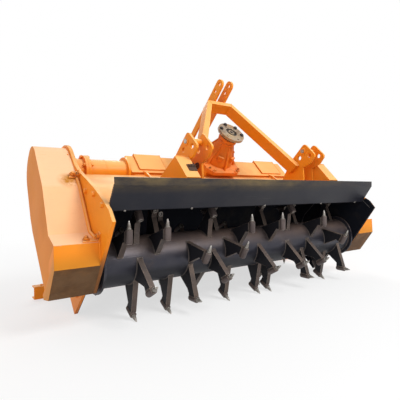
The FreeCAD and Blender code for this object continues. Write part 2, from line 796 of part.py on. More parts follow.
def make_door_hinges():
    """A pin through two lugs at each knuckle; the lugs stand on the hood's rear edge."""
    lug = "door_lug"
    rise = f"({HOOD_PEAK} - side_rear_top) / ({SIDE_REAR} - ({HOOD_BACK[0]}))"
    corners = (
        (f"{HINGE_BACK} - {lug} * 1.6", f"{HINGE_UP} + {lug} * 0.7"),
        (f"{HINGE_BACK} + {lug} * 0.6", f"{HINGE_UP} + {lug} * 0.7"),
        (f"{HINGE_BACK} + {lug} * 0.6", f"{HINGE_UP} - {lug} * 0.6"),
        (SIDE_REAR, f"{HINGE_UP} - {lug} * 0.6"),
        (SIDE_REAR, "side_rear_top"),
        (f"{SIDE_REAR} - {lug} * 1.4", f"side_rear_top + {lug} * 1.4 * {rise}"),
    )
    gap = 3
    for side, inner in (("left", "-door_knuckle_inset - door_knuckle_length"), ("right", "door_knuckle_inset")):
        for end, start in (("a", f"{inner} - 14 - {gap}"), ("b", f"{inner} + door_knuckle_length + {gap}")):
            body = plate(f"door_lug_{side}_{end}", start, "14", corners)
            drill(body, ((HINGE_BACK, HINGE_UP, "door_pin_radius"),))
            park(body)
        park(turned_across(f"door_pin_{side}", (
            (f"{inner} - 20", "0"), (f"{inner} - 20", "door_pin_radius"),
            (f"{inner} + door_knuckle_length + 20", "door_pin_radius"),
            (f"{inner} + door_knuckle_length + 20", "0"),
        ), HINGE_BACK, HINGE_UP))


# ---------------------------------------------------------------- rotor

DRUM_END = f"({INNER_FACE} - end_gap)"


def make_drum():
    park(turned_across("rotor_drum", (
        (f"-{DRUM_END}", "drum_radius - drum_wall"), (f"-{DRUM_END}", "drum_radius"),
        (DRUM_END, "drum_radius"), (DRUM_END, "drum_radius - drum_wall"),
    )))
    for side, sign in (("left", "-"), ("right", "")):
        inner_end = f"{sign}({DRUM_END} - ring_thickness)"
        park(turned_across(f"rotor_ring_{side}", (
            (f"{sign}{DRUM_END}", "drum_radius"), (f"{sign}{DRUM_END}", "ring_radius"),
            (inner_end, "ring_radius"), (inner_end, "drum_radius"),
        )))
        hub_end = f"{sign}({DRUM_END} - 30)"
        tip = f"{sign}(body_half_width + 40)"
        park(turned_across(f"rotor_stub_{side}", (
            (hub_end, "0"), (hub_end, "drum_radius - drum_wall"),
            (f"{sign}{DRUM_END}", "drum_radius - drum_wall"), (f"{sign}{DRUM_END}", "stub_radius"),
            (tip, "stub_radius"), (tip, "0"),
        )))


def make_bearing():
    """The flanged bearing housing that carries the rotor's free end."""
    face = "body_half_width"
    bore = "stub_radius + running_gap"
    park(turned_across("bearing_housing", (
        (face, bore), (face, "stub_radius + 26"), (f"{face} + 16", "stub_radius + 26"),
        (f"{face} + 16", "stub_radius + 18"), (f"{face} + 48", "stub_radius + 14"), (f"{face} + 48", bore),
    )))


def tooth_frame(slot, row):
    """Where one tooth stands: its place along the drum and its turn about the rotor axis."""
    along = (slot - (size("slot_count") - 1) / 2) * size("slot_pitch")
    level = (row + 0.5) * 360 / size("pick_rows") + size("parking_tilt")
    return Placement(Vector(along, 0, 0), Rotation(Vector(1, 0, 0), level))


def back_from_tip(distance, drop):
    """A point behind the pick's rounded end, along its axis and then square to it, inwards."""
    lean = math.radians(size("pick_lean"))
    along = Vector(0, size("tip_radius") - size("tip_point_radius"), 0) + distance * Vector(0, -math.cos(lean), math.sin(lean))
    return along + drop * Vector(0, -math.sin(lean), -math.cos(lean))


def pick_solid():
    """Holder sleeve and point, turned about the pick's own leaning axis."""
    axis = back_from_tip(0, 0) - back_from_tip(1, 0)
    point = Part.makeCone(size("tip_base_radius"), size("tip_point_radius"), size("tip_length"),
                          back_from_tip(size("tip_length"), 0), axis)
    sleeve = Part.makeCylinder(size("holder_radius"), size("holder_length"),
                               back_from_tip(size("tip_length") + size("holder_length"), 0), axis)
    end = Part.makeSphere(size("tip_point_radius"), back_from_tip(0, 0))
    return point.fuse([sleeve, end]).removeSplitter()


def arm_solid():
    """The flat arm that carries a holder: wide on the drum, narrow and trailing at the top."""
    half_root = size("arm_root_width") / 2
    root = size("drum_radius") * 0.8
    holder_back = size("tip_length") + size("holder_length") - 3
    holder_front = size("tip_length") + 8
    corners = [
        Vector(0, root, -half_root), Vector(0, root, half_root),
        back_from_tip(holder_back, size("holder_radius") + 20), back_from_tip(holder_back, 0),
        back_from_tip(holder_front, 0), back_from_tip(holder_front, size("holder_radius") + 4),
    ]
    outline = Part.Face(Part.makePolygon(corners + corners[:1]))
    arm = outline.extrude(Vector(size("arm_thickness"), 0, 0))
    arm.translate(Vector(-size("arm_thickness") / 2, 0, 0))
    width = 2 * size("body_half_width")
    drum = Part.makeCylinder(size("drum_radius"), width, Vector(-width / 2, 0, 0), Vector(1, 0, 0))
    return arm.cut(drum).cut(pick_solid())


def make_teeth():
    """Every tooth, in staggered rows round the drum, so that two rows always meet the floor."""
    for name, master in (("rotor_arms", arm_solid()), ("rotor_picks", pick_solid())):
        copies = []
        for row, slots in enumerate(ROW_SLOTS):
            for slot in slots:
                copy = master.copy()
                copy.Placement = tooth_frame(slot, row)
                copies.append(copy)
        node = doc.addObject("Part::Feature", name)
        node.Label = name
        node.Shape = Part.makeCompound(copies)
        park(node)


def write_steps():
    doc.recompute()
    for item in doc.Objects:
        if "Invalid" in item.State or "Error" in item.State:
            raise ValueError(f"{item.Label} failed: {item.State}")
    for node in nodes:
        if node.Shape.isNull() or not node.Shape.isValid():
            raise ValueError(f"{node.Label} has no valid shape")
    os.makedirs("parts", exist_ok=True)
    for node in nodes:
        node.Shape.exportStep(f"parts/{node.Label}.step")


make_side_plates()
make_hood()
make_deflector()
make_skid("skid_left", "-body_half_width - skid_width")
make_skid("skid_right", "body_half_width")
make_drive_case()
make_cross_tube()
make_beam()
make_lower_hitch()
make_wings()
make_mast()
make_top_link()
make_gearbox()
make_input()
make_rear_door()
make_door_hinges()
make_drum()
make_bearing()
make_teeth()
write_steps()
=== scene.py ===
import contextlib
import json
import math
import random

import bmesh
import bpy
from mathutils import Matrix, Vector


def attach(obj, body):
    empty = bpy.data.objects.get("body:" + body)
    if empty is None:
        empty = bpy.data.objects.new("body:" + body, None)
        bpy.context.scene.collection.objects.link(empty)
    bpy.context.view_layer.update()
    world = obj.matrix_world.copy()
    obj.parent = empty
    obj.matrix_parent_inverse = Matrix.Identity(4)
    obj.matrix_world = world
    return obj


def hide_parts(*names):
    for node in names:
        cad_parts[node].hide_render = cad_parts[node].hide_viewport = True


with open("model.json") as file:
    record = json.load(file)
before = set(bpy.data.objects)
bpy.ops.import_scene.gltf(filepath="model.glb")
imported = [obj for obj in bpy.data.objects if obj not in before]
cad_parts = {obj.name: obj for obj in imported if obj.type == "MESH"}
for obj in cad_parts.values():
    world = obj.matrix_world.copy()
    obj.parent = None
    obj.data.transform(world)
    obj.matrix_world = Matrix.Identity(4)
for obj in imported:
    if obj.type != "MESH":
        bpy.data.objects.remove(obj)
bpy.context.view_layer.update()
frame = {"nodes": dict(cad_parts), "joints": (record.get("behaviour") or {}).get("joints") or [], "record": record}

# A soil mixer parked nose-up.  Added pieces are drawn in the machine's own level frame, in
# millimetres: the rotor axis is the X axis, y runs back from it and z up from it.
LEAN = math.radians(45)
MILLIMETRE = 0.001
PIVOTS = {joint["name"]: Vector(joint["pos_m"]) for joint in frame["joints"]}
ROTOR_AXIS, DOOR_HINGE = PIVOTS["rotor_spin"], PIVOTS["door_swing"]
TO_ROW = Matrix.Translation(ROTOR_AXIS) @ Matrix.Rotation(-LEAN, 4, "X") @ Matrix.Scale(MILLIMETRE, 4)
FROM_ROW = TO_ROW.inverted()
ACROSS, BACK, UP = Vector((1, 0, 0)), Vector((0, 1, 0)), Vector((0, 0, 1))
AHEAD = -BACK

# Places that several pieces share, in millimetres; the hitch has a middle x on each side.
HOOD_FOOT, HOOD_FOLD = (-359, 36), (-337, 205)
HOOD_CREST, HOOD_BACK, HOOD_TAIL = (-148, 505), (96, 505), (382, 425)
DEFLECTOR_FOLD = (-495, 66)
PLATE_FACE, WING_FACE, CASE_RADIUS = 1040, 627.5, 129
SHAFT = Vector((0, -71, 610))
HITCH_SIDES = (-1, -482.5), (1, 482.5)


# ---- shader tools

def plug(socket, value):
    """Link a value to an input socket, or set the socket to a plain number or colour."""
    value = getattr(value, "socket", value)
    if isinstance(value, bpy.types.NodeSocket):
        socket.id_data.links.new(value, socket)
    else:
        socket.default_value = value


def add(tree, kind, settings=None, **sockets):
    """A node with its settings; sockets go by name, or by number as i0, i1 and so on."""
    node = tree.nodes.new("ShaderNode" + kind)
    for key, value in (settings or {}).items():
        setattr(node, key, value)
    for label, value in sockets.items():
        plug(node.inputs[int(label[1:]) if label[1:].isdigit() else label.replace("_", " ")], value)
    return node


def maths(operation, first, second=0.0, clamp=False):
    tree = (first if isinstance(first, Value) else second).tree
    return Value(add(tree, "Math", {"operation": operation, "use_clamp": clamp}, i0=first, i1=second).outputs[0])


class Value:
    """What a shader node gives; a formula with it adds maths nodes to its tree."""

    def __init__(self, socket):
        self.socket, self.tree = socket, socket.id_data

    def __add__(self, other):
        return maths("ADD", self, other)

    def __mul__(self, other):
        return maths("MULTIPLY", self, other)

    def __sub__(self, other):
        return maths("SUBTRACT", self, other)

    def __rsub__(self, other):
        return maths("SUBTRACT", other, self)

    def __abs__(self):
        return maths("ABSOLUTE", self)


def ramp(value, low, high):
    """Value turned into 0 below low and 1 above high, smoothly between."""
    node = add(value.tree, "MapRange", {"interpolation_type": "SMOOTHSTEP"},
               Value=value, From_Min=low, From_Max=high)
    return Value(node.outputs[0])


def coordinates(tree, kind="Object"):
    return add(tree, "TexCoord").outputs[kind]


def split(vector):
    """The x, y and z of a vector, as values."""
    return [Value(socket) for socket in add(vector.id_data, "SeparateXYZ", Vector=vector).outputs]


def noise(tree, scale, detail=4.0, roughness=0.55, stretch=None):
    where = coordinates(tree)
    if stretch:
        where = add(tree, "Mapping", Vector=where, Scale=stretch).outputs[0]
    return Value(add(tree, "TexNoise", Vector=where, Scale=scale, Detail=detail, Roughness=roughness).outputs[0])


def new_group(name, inputs, *outputs):
    """An empty group of number sockets: its tree, its inputs as values, its outputs."""
    tree = bpy.data.node_groups.new(name, "ShaderNodeTree")
    for label, default in inputs.items():
        tree.interface.new_socket(label, in_out="INPUT", socket_type="NodeSocketFloat").default_value = default
    for label in outputs:
        tree.interface.new_socket(label, in_out="OUTPUT", socket_type="NodeSocketFloat")
    given = tree.nodes.new("NodeGroupInput").outputs
    return tree, {label: Value(given[label]) for label in inputs}, tree.nodes.new("NodeGroupOutput").inputs


def use(tree, group, **inputs):
    """The outputs of a group's node, as values by name."""
    node = tree.nodes.new("ShaderNodeGroup")
    node.node_tree = group
    for label, value in inputs.items():
        plug(node.inputs[label.replace("_", " ")], value)
    return {socket.name: Value(socket) for socket in node.outputs}


# ---- shader groups

def make_worn_edges():
    """Mask of the rubbed edges: where a rounded normal leaves the flat one."""
    tree, given, out = new_group("worn_edges", {"Width": 0.004, "Amount": 0.5, "Patch Scale": 30.0}, "Mask")
    rounded = add(tree, "Bevel", {"samples": 6}, Radius=given["Width"]).outputs[0]
    flat = add(tree, "NewGeometry").outputs["Normal"]
    close = add(tree, "VectorMath", {"operation": "DOT_PRODUCT"}, i0=rounded, i1=flat).outputs["Value"]
    edge = ramp(1.0 - Value(close), 0.01, 0.12)
    patches = noise(tree, given["Patch Scale"], 6.0, 0.65)
    limit = 0.75 - given["Amount"] * 0.5
    plug(out["Mask"], maths("MULTIPLY", edge, ramp(patches, limit, limit + 0.08), True))
    return tree


def make_settled_dust():
    """Mask of dust: it lies on what faces up, in broad patches."""
    tree, given, out = new_group("settled_dust", {"Scale": 5.0, "Amount": 0.5}, "Mask")
    facing_up = split(add(tree, "NewGeometry").outputs["Normal"])[2]
    lying = maths("ADD", facing_up * 0.35, 0.65, True)
    broad = ramp(noise(tree, given["Scale"], 8.0, 0.7), 0.42, 0.68)
    grain = ramp(noise(tree, 220.0, 2.0, 0.5), 0.35, 0.7)
    plug(out["Mask"], maths("MULTIPLY", broad * (grain * 0.5 + 0.5) * lying, given["Amount"], True))
    return tree


def make_scuffs():
    """Fine scratches in two directions, as a mask and as a height."""
    tree, given, out = new_group("scuffs", {"Scale": 14.0, "Amount": 0.5}, "Mask", "Height")
    lines = [ramp(noise(tree, given["Scale"], 5.0, 0.75, stretch), 0.6, 0.68)
             for stretch in ((0.5, 9.0, 12.0), (7.0, 0.8, 14.0))]
    kept = maths("MAXIMUM", *lines) * ramp(noise(tree, 3.0, 3.0), 0.45, 0.65)
    mask = maths("MULTIPLY", kept, given["Amount"], True)
    plug(out["Mask"], mask)
    plug(out["Height"], mask * -1.0)
    return tree


def make_surface_waves():
    """Height of sprayed or cast metal: slow waves with a fine grain over them."""
    tree, given, out = new_group(
        "surface_waves", {"Wave Scale": 9.0, "Grain Scale": 350.0, "Grain": 0.3}, "Height", "Tint")
    slow = noise(tree, given["Wave Scale"], 3.0, 0.5)
    fine = noise(tree, given["Grain Scale"], 2.0, 0.5)
    plug(out["Height"], slow + fine * given["Grain"])
    plug(out["Tint"], ramp(slow, 0.3, 0.7))
    return tree


def make_facing():
    """Which way a surface faces on the parked machine: up, down or out to the side."""
    tree, _, out = new_group("facing", {}, "Up", "Down", "Flank")
    across, _, upward = split(coordinates(tree, "Normal"))
    plug(out["Up"], ramp(upward, 0.05, 0.85))
    plug(out["Down"], ramp(upward * -1.0, 0.15, 0.45))
    plug(out["Flank"], ramp(abs(across), 0.75, 0.95))
    return tree


def make_machine_place():
    """Where a point is on the machine, in metres: back of the rotor axis and above it."""
    tree, _, out = new_group("machine_place", {}, "Back", "Rise")
    _, y, z = split(coordinates(tree))
    behind, above = y - ROTOR_AXIS.y, z - ROTOR_AXIS.z
    plug(out["Back"], (behind - above) * math.cos(LEAN))
    plug(out["Rise"], (behind + above) * math.cos(LEAN))
    return tree


def make_inside_chamber():
    """Mask of the mixing chamber's inside: under the hood, between the plates, before the door."""
    tree, _, out = new_group("inside_chamber", {}, "Mask")
    x, y, _ = split(coordinates(tree))
    machine = use(tree, MACHINE_PLACE)
    back, rise = machine["Back"], machine["Rise"]
    aside = abs(x)

    def side_of(first, second):
        """Distance in metres from the line between two (y, z) points in mm, less half a sheet."""
        run, lift = second[0] - first[0], second[1] - first[1]
        length = math.hypot(run, lift)
        a, b = lift / length, -run / length
        offset = (a * first[0] + b * first[1]) * MILLIMETRE + 0.004
        return back * a + rise * b - offset

    # The noses of the side plates reach ahead of the hood's foot, below the deflector.
    nose = maths("MINIMUM", aside - 1.0185, side_of(DEFLECTOR_FOLD, HOOD_FOOT))
    foot = maths("MAXIMUM", side_of(HOOD_FOOT, HOOD_FOLD), nose)
    nearest = maths("MAXIMUM", foot, 0.041 - rise)
    left_face, right_face_more, door_face = 1.0245, 0.0135, 0.434
    plate_face = maths("GREATER_THAN", x, 0.0) * right_face_more
    for distance in (side_of(HOOD_FOLD, HOOD_CREST), side_of(HOOD_CREST, HOOD_BACK), side_of(HOOD_BACK, HOOD_TAIL),
                     maths("ADD", left_face, plate_face) - aside, door_face - y):
        nearest = maths("MINIMUM", nearest, distance)
    plug(out["Mask"], ramp(nearest, 0.0, 0.0015))
    return tree


WORN_EDGES = make_worn_edges()
SETTLED_DUST = make_settled_dust()
SCUFFS = make_scuffs()
SURFACE_WAVES = make_surface_waves()
FACING = make_facing()
MACHINE_PLACE = make_machine_place()
INSIDE_CHAMBER = make_inside_chamber()


# ---- materials

def blend_colour(share, first, second):
    first, second = (value if isinstance(value, Value) else (*value, 1) for value in (first, second))
    return Value(add(share.tree, "Mix", {"data_type": "RGBA"}, i0=share, i6=first, i7=second).outputs[2])


def blend_value(share, first, second):
    return Value(add(share.tree, "Mix", {"data_type": "FLOAT"}, i0=share, i2=first, i3=second).outputs[0])


class Finish:
    """One material in the making: layers are laid over the colour and roughness in turn."""

    def __init__(self, name, colour, roughness, metallic=0.0):
        self.material = bpy.data.materials.new(name)
        self.material.use_nodes = True
        self.material.diffuse_color = (*colour, 1)
        self.tree = self.material.node_tree
        self.colour, self.roughness, self.metallic = colour, roughness, metallic
        self.heights = []

    def patches(self, scale, detail, low, high, roughness=0.55):
        """Broad uneven patches as a mask."""
        return ramp(noise(self.tree, scale, detail, roughness), low, high)

    def facing(self, way):
        return use(self.tree, FACING)[way]

    def tint(self, other, share):
        self.colour = blend_colour(share, self.colour, other)

    def layer(self, mask, colour, roughness, metallic=0.0):
        """Another surface shows where the mask is 1."""
        self.colour = blend_colour(mask, self.colour, colour)
        self.roughness = blend_value(mask, self.roughness, roughness)
        self.metallic = blend_value(mask, self.metallic, metallic)

    def waves(self, wave_scale, grain_scale, grain, other, share, depth):
        waves = use(self.tree, SURFACE_WAVES, Wave_Scale=wave_scale, Grain_Scale=grain_scale, Grain=grain)
        self.tint(other, waves["Tint"] * share)
        self.heights.append((waves["Height"], depth))

    def wear(self, width, amount, patch_scale, colour, roughness=0.45, metallic=0.9):
        worn = use(self.tree, WORN_EDGES, Width=width, Amount=amount, Patch_Scale=patch_scale)
        self.layer(worn["Mask"], colour, roughness, metallic)

    def dust(self, scale, amount, colour):
        self.layer(use(self.tree, SETTLED_DUST, Scale=scale, Amount=amount)["Mask"], colour, 0.85)

    def scuff(self, scale, amount, colour, roughness, depth, metallic=0.0):
        scuffs = use(self.tree, SCUFFS, Scale=scale, Amount=amount)
        self.layer(scuffs["Mask"], colour, roughness, metallic)
        self.heights.append((scuffs["Height"], depth))

    def done(self, coat_roughness=0.2, shine=0.5):
        inputs = self.tree.nodes["Principled BSDF"].inputs
        for label, value in (("Base Color", self.colour), ("Roughness", self.roughness),
                             ("Metallic", self.metallic), ("Coat Weight", 0.0),
                             ("Specular IOR Level", shine), ("Coat Roughness", coat_roughness)):
            plug(inputs[label], value)
        normal = None
        for height, depth in self.heights:
            bump = add(self.tree, "Bump", Height=height, Distance=depth, Strength=1.0)
            if normal:
                plug(bump.inputs["Normal"], normal)
            normal = bump.outputs[0]
        plug(inputs["Normal"], normal)
        return self.material


# Next line: the base orange, a deeper orange that also serves as painted shade on undersides, and a paler orange for
# waves.
ORANGE, DEEP_ORANGE, PALE_ORANGE = (0.86, 0.255, 0.012), (0.74, 0.18, 0.006), (0.93, 0.37, 0.04)
# Next line: a paler orange for upper faces (partly sun-fading, partly painted highlight), a darker orange that is
# painted shade on side faces, and a pale peach that is a painted highlight.
FADED_HIGHLIGHT_ORANGE, SHADED_FLANK_ORANGE, PEACH_HIGHLIGHT = (0.95, 0.60, 0.25), (0.62, 0.20, 0.028), (0.96, 0.62, 0.40)
SKID_ORANGE, CAST_ORANGE, MUSTARD = (0.80, 0.235, 0.012), (0.82, 0.185, 0.014), (0.52, 0.20, 0.016)
# Next line: scuffs, and a darker orange laid along edges in patches.
SCUFFED_ORANGE, EDGE_DARK_ORANGE = (0.76, 0.30, 0.10), (0.50, 0.17, 0.03)
RUST, RUST_WASH = (0.13, 0.045, 0.018), (0.50, 0.20, 0.022)
# Next line: dirt, and a dark brown laid towards the bottom of the machine.
DIRT, LOW_DARK_BROWN = (0.24, 0.16, 0.10), (0.105, 0.055, 0.025)
# Next line: the chamber's black, partly soil and partly painted shade, and dry soil.
SOIL_AND_SHADE_BLACK, DRY_SOIL = (0.003, 0.004, 0.008), (0.030, 0.023, 0.019)
# Next line: two browns of painted shade for the skids' undersides, and their scratches.
SOLE_SHADE_DARK, SOLE_SHADE_LIGHT, SOLE_SCRATCH = (0.085, 0.042, 0.018), (0.125, 0.068, 0.032), (0.2, 0.13, 0.08)
CHARCOAL, CHARCOAL_WAVE, OLIVE_MIST = (0.0105, 0.0115, 0.019), (0.022, 0.021, 0.026), (0.24, 0.16, 0.05)
BARE_STEEL, SCRATCHED_STEEL = (0.30, 0.28, 0.26), (0.26, 0.24, 0.23)


def orange_with_dust_and_light(finish, fade_and_highlight):
    """Upper faces paler, partly sun-faded and partly painted highlight; undersides deeper as painted shade; deeper
    colour in slow patches and dust over the orange.
    """
    # Upper faces paler: partly sun-fading, partly painted highlight.
    upper = finish.facing("Up") * (finish.patches(2.2, 5.0, 0.2, 0.75) * 0.35 + 0.65)
    finish.tint(FADED_HIGHLIGHT_ORANGE, upper * fade_and_highlight)
    finish.tint(DEEP_ORANGE, finish.patches(1.7, 6.0, 0.48, 0.78) * 0.3)
    # Painted shade: faces that look down are deepened.
    finish.tint(DEEP_ORANGE, finish.facing("Down") * 0.55)
    finish.dust(3.5, 0.3, DIRT)


def rust_run(finish, x, y, z, reach):
    """A smudge of rust washed down the metal from one place, given in the machine's frame."""
    spot = add(finish.tree, "VectorMath", {"operation": "DISTANCE"},
               i0=coordinates(finish.tree), i1=TO_ROW @ Vector((x, y, z)))
    near = 1.0 - ramp(Value(spot.outputs["Value"]), reach * 0.15, reach)
    finish.layer(near * finish.patches(24.0, 6.0, 0.3, 0.6, 0.7), RUST_WASH, 0.6)


def paint_orange(name="orange_paint", faded_and_lit=0.75, flank=0.0, shine=0.16):
    """Sprayed orange; on the case, painted shade on the side faces and a painted highlight on top; inside the mixing
    chamber it is black, partly soil and partly painted shade.
    """
    finish = Finish(name, ORANGE, 0.36)
    finish.waves(4.0, 420.0, 0.12, PALE_ORANGE, 0.35, 0.0008)
    orange_with_dust_and_light(finish, faded_and_lit)
    if flank:
        # Painted shade: the case's side faces darker in broad patches.
        sides = finish.facing("Flank") * (finish.patches(1.3, 4.0, 0.35, 0.65) * 0.45 + 0.5)
        finish.tint(SHADED_FLANK_ORANGE, sides * flank)
        # Painted highlight: the case's upper faces pale peach.
        finish.tint(PEACH_HIGHLIGHT, finish.facing("Up") * 0.75)
        rust_run(finish, -1092, -214, 385, 0.07)
        rust_run(finish, -1060, -214, 400, 0.05)
    finish.scuff(16.0, 0.25, SCUFFED_ORANGE, 0.55, 0.0002)
    # Darker orange along the edges, in patches.
    finish.wear(0.002, 0.2, 26.0, EDGE_DARK_ORANGE, 0.55, 0.1)
    # Inside the chamber: black, partly soil and partly painted shade.
    soil_and_shade = blend_colour(finish.patches(7.0, 8.0, 0.45, 0.75, 0.7) * 0.5, SOIL_AND_SHADE_BLACK, DRY_SOIL)
    # Darker brown towards the bottom of the machine.
    lowest_darkening = 1.0 - ramp(use(finish.tree, MACHINE_PLACE)["Rise"], -0.118, -0.084)
    finish.layer(lowest_darkening * 0.85, LOW_DARK_BROWN, 0.62)
    finish.layer(use(finish.tree, INSIDE_CHAMBER)["Mask"], soil_and_shade, 0.9)
    return finish.done(0.25, shine)


def paint_rubbed():
    """Orange on bolts and nuts, chipped through to rust where the spanner went on."""
    finish = Finish("rubbed_orange", ORANGE, 0.45)
    finish.waves(12.0, 300.0, 0.4, DEEP_ORANGE, 0.5, 0.0006)
    orange_with_dust_and_light(finish, 0.4)
    finish.layer(finish.patches(45.0, 6.0, 0.48, 0.62, 0.7) * 0.8, RUST, 0.75)
    finish.wear(0.0025, 0.9, 70.0, (0.16, 0.07, 0.03), 0.6, 0.3)
    return finish.done(0.3, 0.3)


def paint_skid():
    """Orange like the body, darker and more olive towards the bottom, with painted shade on the faces that look down
    and scratches on them.
    """
    finish = Finish("skid_paint", SKID_ORANGE, 0.45)
    finish.waves(4.0, 420.0, 0.12, PALE_ORANGE, 0.3, 0.0008)
    orange_with_dust_and_light(finish, 0.3)
    # Darker, more olive orange towards the bottom.
    low = 1.0 - ramp(use(finish.tree, MACHINE_PLACE)["Rise"], -0.108, -0.045)
    finish.tint(MUSTARD, low * 0.75)
    # Painted shade: faces that look down are dark brown.
    shaded_sole = finish.facing("Down") * (finish.patches(6.0, 8.0, 0.3, 0.6, 0.7) * 0.12 + 0.86)
    finish.layer(shaded_sole, blend_colour(finish.patches(9.0, 6.0, 0.35, 0.65), SOLE_SHADE_DARK, SOLE_SHADE_LIGHT), 0.62)
    finish.scuff(9.0, 0.6, SOLE_SCRATCH, 0.5, 0.0003)
    finish.wear(0.003, 0.35, 22.0, BARE_STEEL)
    return finish.done(0.3, 0.15)


def paint_cast_orange():
    finish = Finish("cast_orange", CAST_ORANGE, 0.46)
    finish.waves(22.0, 260.0, 0.9, DEEP_ORANGE, 0.5, 0.0016)
    orange_with_dust_and_light(finish, 0.25)
    finish.dust(9.0, 0.5, DIRT)
    finish.wear(0.003, 0.3, 40.0, BARE_STEEL)
    return finish.done(0.3, 0.2)


def paint_charcoal():
    """Dark plate; a mist of olive along its upper lip fades to the right."""
    finish = Finish("charcoal_paint", CHARCOAL, 0.42)
    tree = finish.tree
    finish.waves(3.0, 380.0, 0.15, CHARCOAL_WAVE, 0.8, 0.0009)
    x, _, z = split(coordinates(tree))
    mist = ramp(z, 0.665, 0.745) * ramp(noise(tree, 5.0, 7.0, 0.7, (0.5, 1.0, 1.6)), 0.3, 0.7)
    fading = 1.0 - ramp(x, -0.2, 0.7) * 0.8
    finish.layer(mist * fading * 0.6, OLIVE_MIST, 0.6)
    finish.dust(5.0, 0.12, (0.15, 0.12, 0.10))
    finish.scuff(12.0, 0.45, (0.06, 0.058, 0.056), 0.5, 0.0002)
    finish.wear(0.003, 0.45, 30.0, (0.30, 0.20, 0.09), 0.5, 0.5)
    return finish.done(0.25, 0.22)


def paint_inner():
    """The chamber's inside: near-black, partly dark primer and partly painted shade, under dried soil."""
    finish = Finish("chamber_inside", (0.02, 0.021, 0.026), 0.6)
    finish.waves(7.0, 200.0, 0.8, (0.05, 0.04, 0.032), 0.7, 0.002)
    finish.dust(6.0, 0.5, (0.13, 0.09, 0.06))
    return finish.done()


def forge_steel(name, colour, tinted, roughness, flank=0.0):
    """Soil-polished steel with heat colours and scratches; side faces are near-black, partly kept dark paint and partly
    painted shade.
    """
    finish = Finish(name, colour, roughness, 0.3)
    finish.waves(12.0, 240.0, 0.6, tinted, 0.9, 0.0013)
    finish.layer(finish.patches(5.0, 8.0, 0.45, 0.7, 0.7) * 0.8, (0.075, 0.050, 0.042), 0.72, 0.1)
    finish.scuff(18.0, 0.7, SCRATCHED_STEEL, 0.35, 0.0003, 0.9)
    finish.dust(8.0, 0.3, (0.16, 0.11, 0.08))
    # Side faces near-black: partly kept dark paint, partly painted shade.
    if flank:
        finish.layer(finish.facing("Flank") * flank, (0.004, 0.0045, 0.008), 0.6)
    finish.wear(0.0035, 0.85, 40.0, (0.36, 0.28, 0.22), 0.42, 0.7)
    return finish.done(0.2, 0.3)


def drum_steel():
    """The drum: soil-polished steel tinted blue as a painted reflection, brown on what faces up, and near-black painted
    shade on what faces down.
    """
    # The base's blue and the waves' blue are a painted reflection.
    finish = Finish("drum_steel", (0.034, 0.034, 0.046), 0.32, 0.55)
    finish.waves(10.0, 240.0, 0.5, (0.048, 0.046, 0.056), 0.9, 0.0012)
    # Brown on what faces up.
    upper_brown = finish.facing("Up") * (finish.patches(4.0, 7.0, 0.3, 0.65, 0.7) * 0.45 + 0.4)
    finish.layer(upper_brown, (0.115, 0.075, 0.058), 0.62, 0.1)
    finish.layer(finish.patches(6.0, 8.0, 0.52, 0.72, 0.7) * 0.55, (0.07, 0.046, 0.038), 0.7, 0.1)
    # Painted shade: faces that look down are near-black.
    finish.layer(finish.facing("Down") * 0.85, (0.007, 0.007, 0.011), 0.6)
    finish.scuff(15.0, 0.6, (0.20, 0.19, 0.20), 0.32, 0.0003, 0.9)
    finish.wear(0.004, 0.6, 34.0, (0.24, 0.20, 0.18), 0.45, 0.7)
    return finish.done(0.2, 0.35)


def turn_steel(name, colour, roughness, stain, amount):
    """Turned steel, stained in patches by the given share."""
    finish = Finish(name, colour, roughness, 0.6)
    finish.waves(14.0, 300.0, 0.4, (0.36, 0.33, 0.30), 0.6, 0.0006)
    finish.layer(finish.patches(16.0, 8.0, 0.46, 0.66, 0.7) * amount, stain, 0.7)
    finish.scuff(24.0, 0.5, (0.6, 0.57, 0.52), 0.3, 0.0002, 0.95)
    finish.wear(0.002, 0.6, 60.0, (0.66, 0.62, 0.56), 0.3, 1.0)
    return finish.done()


def rough_iron(name, colour, finish_roughness, metallic, waves, wear):
    """Plain iron: slow waves of another tone and rubbed edges."""
    finish = Finish(name, colour, finish_roughness, metallic)
    finish.waves(*waves)
    finish.wear(*wear)
    return finish.done()


MATERIALS = {
    "orange_paint": paint_orange(),
    "case_paint": paint_orange("case_paint", 0.9, 0.95, 0.02),
    "cast_orange": paint_cast_orange(),
    "charcoal_paint": paint_charcoal(),
    "skid_paint": paint_skid(),
    "rubbed_orange": paint_rubbed(),
    "worn_steel": forge_steel("worn_steel", (0.105, 0.075, 0.060), (0.060, 0.050, 0.048), 0.45, 0.96),
    "drum_steel": drum_steel(),
    "holder_steel": forge_steel("holder_steel", (0.070, 0.052, 0.050), (0.115, 0.09, 0.085), 0.45),
    "weld_steel": forge_steel("weld_steel", (0.07, 0.058, 0.056), (0.1, 0.085, 0.075), 0.5),
    "hard_tips": turn_steel("hard_tips", (0.21, 0.19, 0.17), 0.42, (0.08, 0.055, 0.04), 0.65),
    "bright_steel": turn_steel("bright_steel", (0.5, 0.48, 0.45), 0.3, (0.2, 0.1, 0.05), 0.5),
    "machined_steel": turn_steel("machined_steel", (0.44, 0.31, 0.17), 0.42, (0.13, 0.07, 0.03), 0.9),
    "chamber_inside": paint_inner(),
    "rusty_iron": rough_iron("rusty_iron", (0.06, 0.035, 0.024), 0.7, 0.35, (30.0, 300.0, 0.9, RUST, 0.9, 0.0014),
                             (0.002, 0.5, 70.0, (0.22, 0.18, 0.15), 0.45, 0.8)),
    "black_bolts": rough_iron("black_bolts", (0.022, 0.02, 0.02), 0.42, 0.6,
                              (40.0, 300.0, 0.6, (0.06, 0.045, 0.035), 0.7, 0.0006),
                              (0.0015, 0.6, 80.0, (0.3, 0.27, 0.24), 0.4, 0.9)),
}


# ---- mesh helpers

def at(x, y, z):
    return Vector((x, y, z))


